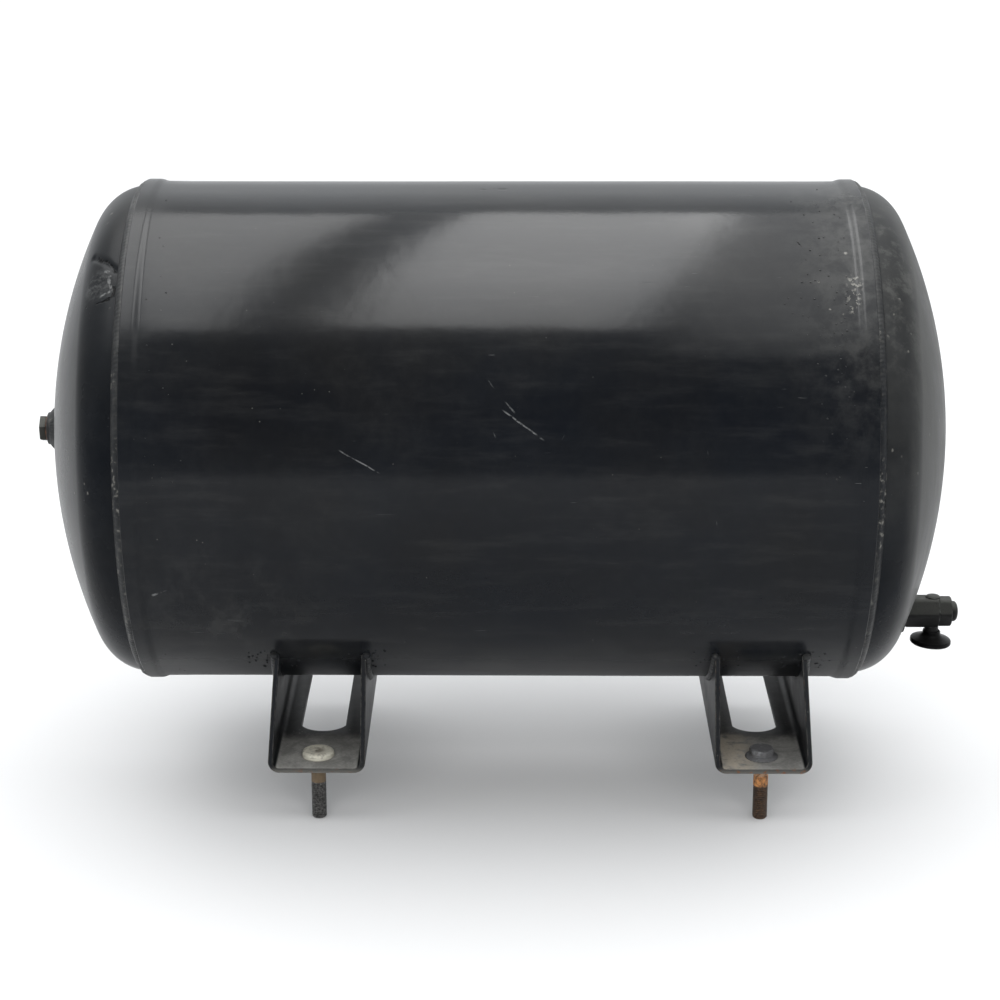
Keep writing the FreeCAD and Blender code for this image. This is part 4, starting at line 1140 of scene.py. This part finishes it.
def make_stage():
    g = material("pale_floor")
    soft = g.noise(1.6, 3.0)
    tone = g.mix(soft, grey(0.84), grey(0.87))
    half = 40.0
    corners = [(x * half, y * half, FLOOR_Z) for x, y in ((-1, -1), (1, -1), (1, 1), (-1, 1))]
    floor = new_object("floor", corners, [[0, 1, 2, 3]])
    floor.data.materials.append(g.finish(tone, g.blend(soft, 0.85, 0.95), specular=0.1))


def area_light(name, middle, size, power, turn=0.0):
    """A soft box that faces down; power is in watts per square metre."""
    data = bpy.data.lights.new(name, "AREA")
    data.shape = "RECTANGLE"
    data.size, data.size_y = size
    data.energy = power * size[0] * size[1]
    light = placed(name, data)
    light.location = middle
    light.rotation_euler = (0, 0, math.radians(turn))
    return light


# Room brightness: dim in front, bright beyond the soft boxes behind the tank
ROOM_FRONT = 0.05
ROOM_ABOVE = 0.75
ROOM_BEHIND = 0.55
ROOM_HORIZON = -0.55
ROOM_SIDES = 0.12
ROOM_SKIRTING = 0.5


def make_world():
    """A soft room, seen by the paint as a slow gradient from front to back."""
    world = bpy.data.worlds.new("room")
    bpy.context.scene.world = world
    g = Graph(world, "Background", "Generated")
    across, depth, height = (g.axis(name) for name in "XYZ")
    strength = g.plus(g.step(depth, -0.6, -0.42, ROOM_FRONT, ROOM_ABOVE),
                      g.step(depth, 0.6, 0.8, 0.0, ROOM_BEHIND),
                      g.step(depth, 0.88, 1.0, 0.0, ROOM_HORIZON),
                      g.step(g.both(across, across), 0.1, 0.62, 0.0, ROOM_SIDES),
                      g.both(g.step(height, 0.0, 0.55, ROOM_SKIRTING, 0.0), g.fall(depth, -0.3, 0.1)))
    g.plug(g.end, {"Strength": strength, "Color": (0.95, 0.975, 1.0, 1)})


def make_lights():
    # Soft boxes that the paint mirrors, with a slanting gap between the first two
    for name, middle, size, power, turn in (
            ("softbox_left", (-0.79, 0.215, 1.6), (1.00, 1.83), 8.6, -6.0),
            ("softbox_middle", (0.021, 0.215, 1.6), (0.368, 1.83), 12.6, -5.0),
            ("softbox_right", (0.8, -0.02, 1.61), (1.19, 2.3), 3.5, 0.0)):
        light = area_light(name, middle, size, power, turn)
        light.data.spread = math.radians(110)
        light.visible_diffuse = False
    # Broad lights for the floor and the dust, which the paint doesn't mirror
    for name, middle, size, power in (("wash", (0.0, 0.0, 4.0), (7.0, 6.0), 3.6),
                                      ("far_wash", (0.0, 8.0, 5.0), (14.0, 8.0), 3.0)):
        area_light(name, middle, size, power).visible_glossy = False
    fill = area_light("front_fill", (0.0, -3.0, 1.9), (3.6, 1.5), 11.0)
    fill.rotation_euler = (math.radians(58), 0, 0)
    fill.visible_glossy = False


def make_camera():
    elevation, azimuth, tilt = math.radians(16.0), math.radians(0.31), math.radians(1.57)
    distance = 2.088
    level = math.cos(elevation)
    back = Vector((math.sin(azimuth) * level, -math.cos(azimuth) * level, math.sin(elevation)))
    data = bpy.data.cameras.new("camera")
    data.sensor_width = 36.0
    data.lens = 93.42
    data.clip_end = 200.0
    camera = placed("camera", data)
    camera.location = TANK + back * distance
    aim = back.to_track_quat("Z", "Y").to_matrix().to_4x4()
    camera.rotation_mode = "QUATERNION"
    camera.rotation_quaternion = (aim @ Matrix.Rotation(-tilt, 4, "X")).to_quaternion()
    bpy.context.scene.camera = camera
    bpy.context.scene.view_settings.view_transform = "Standard"


# ---------------- build

make_shell()
make_head("left_head_dish", "left_head", AT_TANK @ FLIP, 1)
make_head("right_head_dish", "right_head", AT_TANK, 0)
make_girth_weld("left_girth_bead", "left_girth_weld", AT_TANK @ FLIP, 21)
make_girth_weld("right_girth_bead", "right_girth_weld", AT_TANK, 31)
make_seam()
make_foot_welds("left_foot_beads", "left_foot_welds", -1, 11)
make_foot_welds("right_foot_beads", "right_foot_welds", 1, 17)
make_spatter()
make_ports()
make_drain_valve()
make_button()
make_feet()
make_left_bolt()
make_right_bolt()

for node_name, node_object in frame["nodes"].items():
    node_object.data.materials.clear()
    node_object.data.materials.append(MATERIALS[CAD_SLOT[node_name]])

make_stage()
make_world()
make_lights()
make_camera()
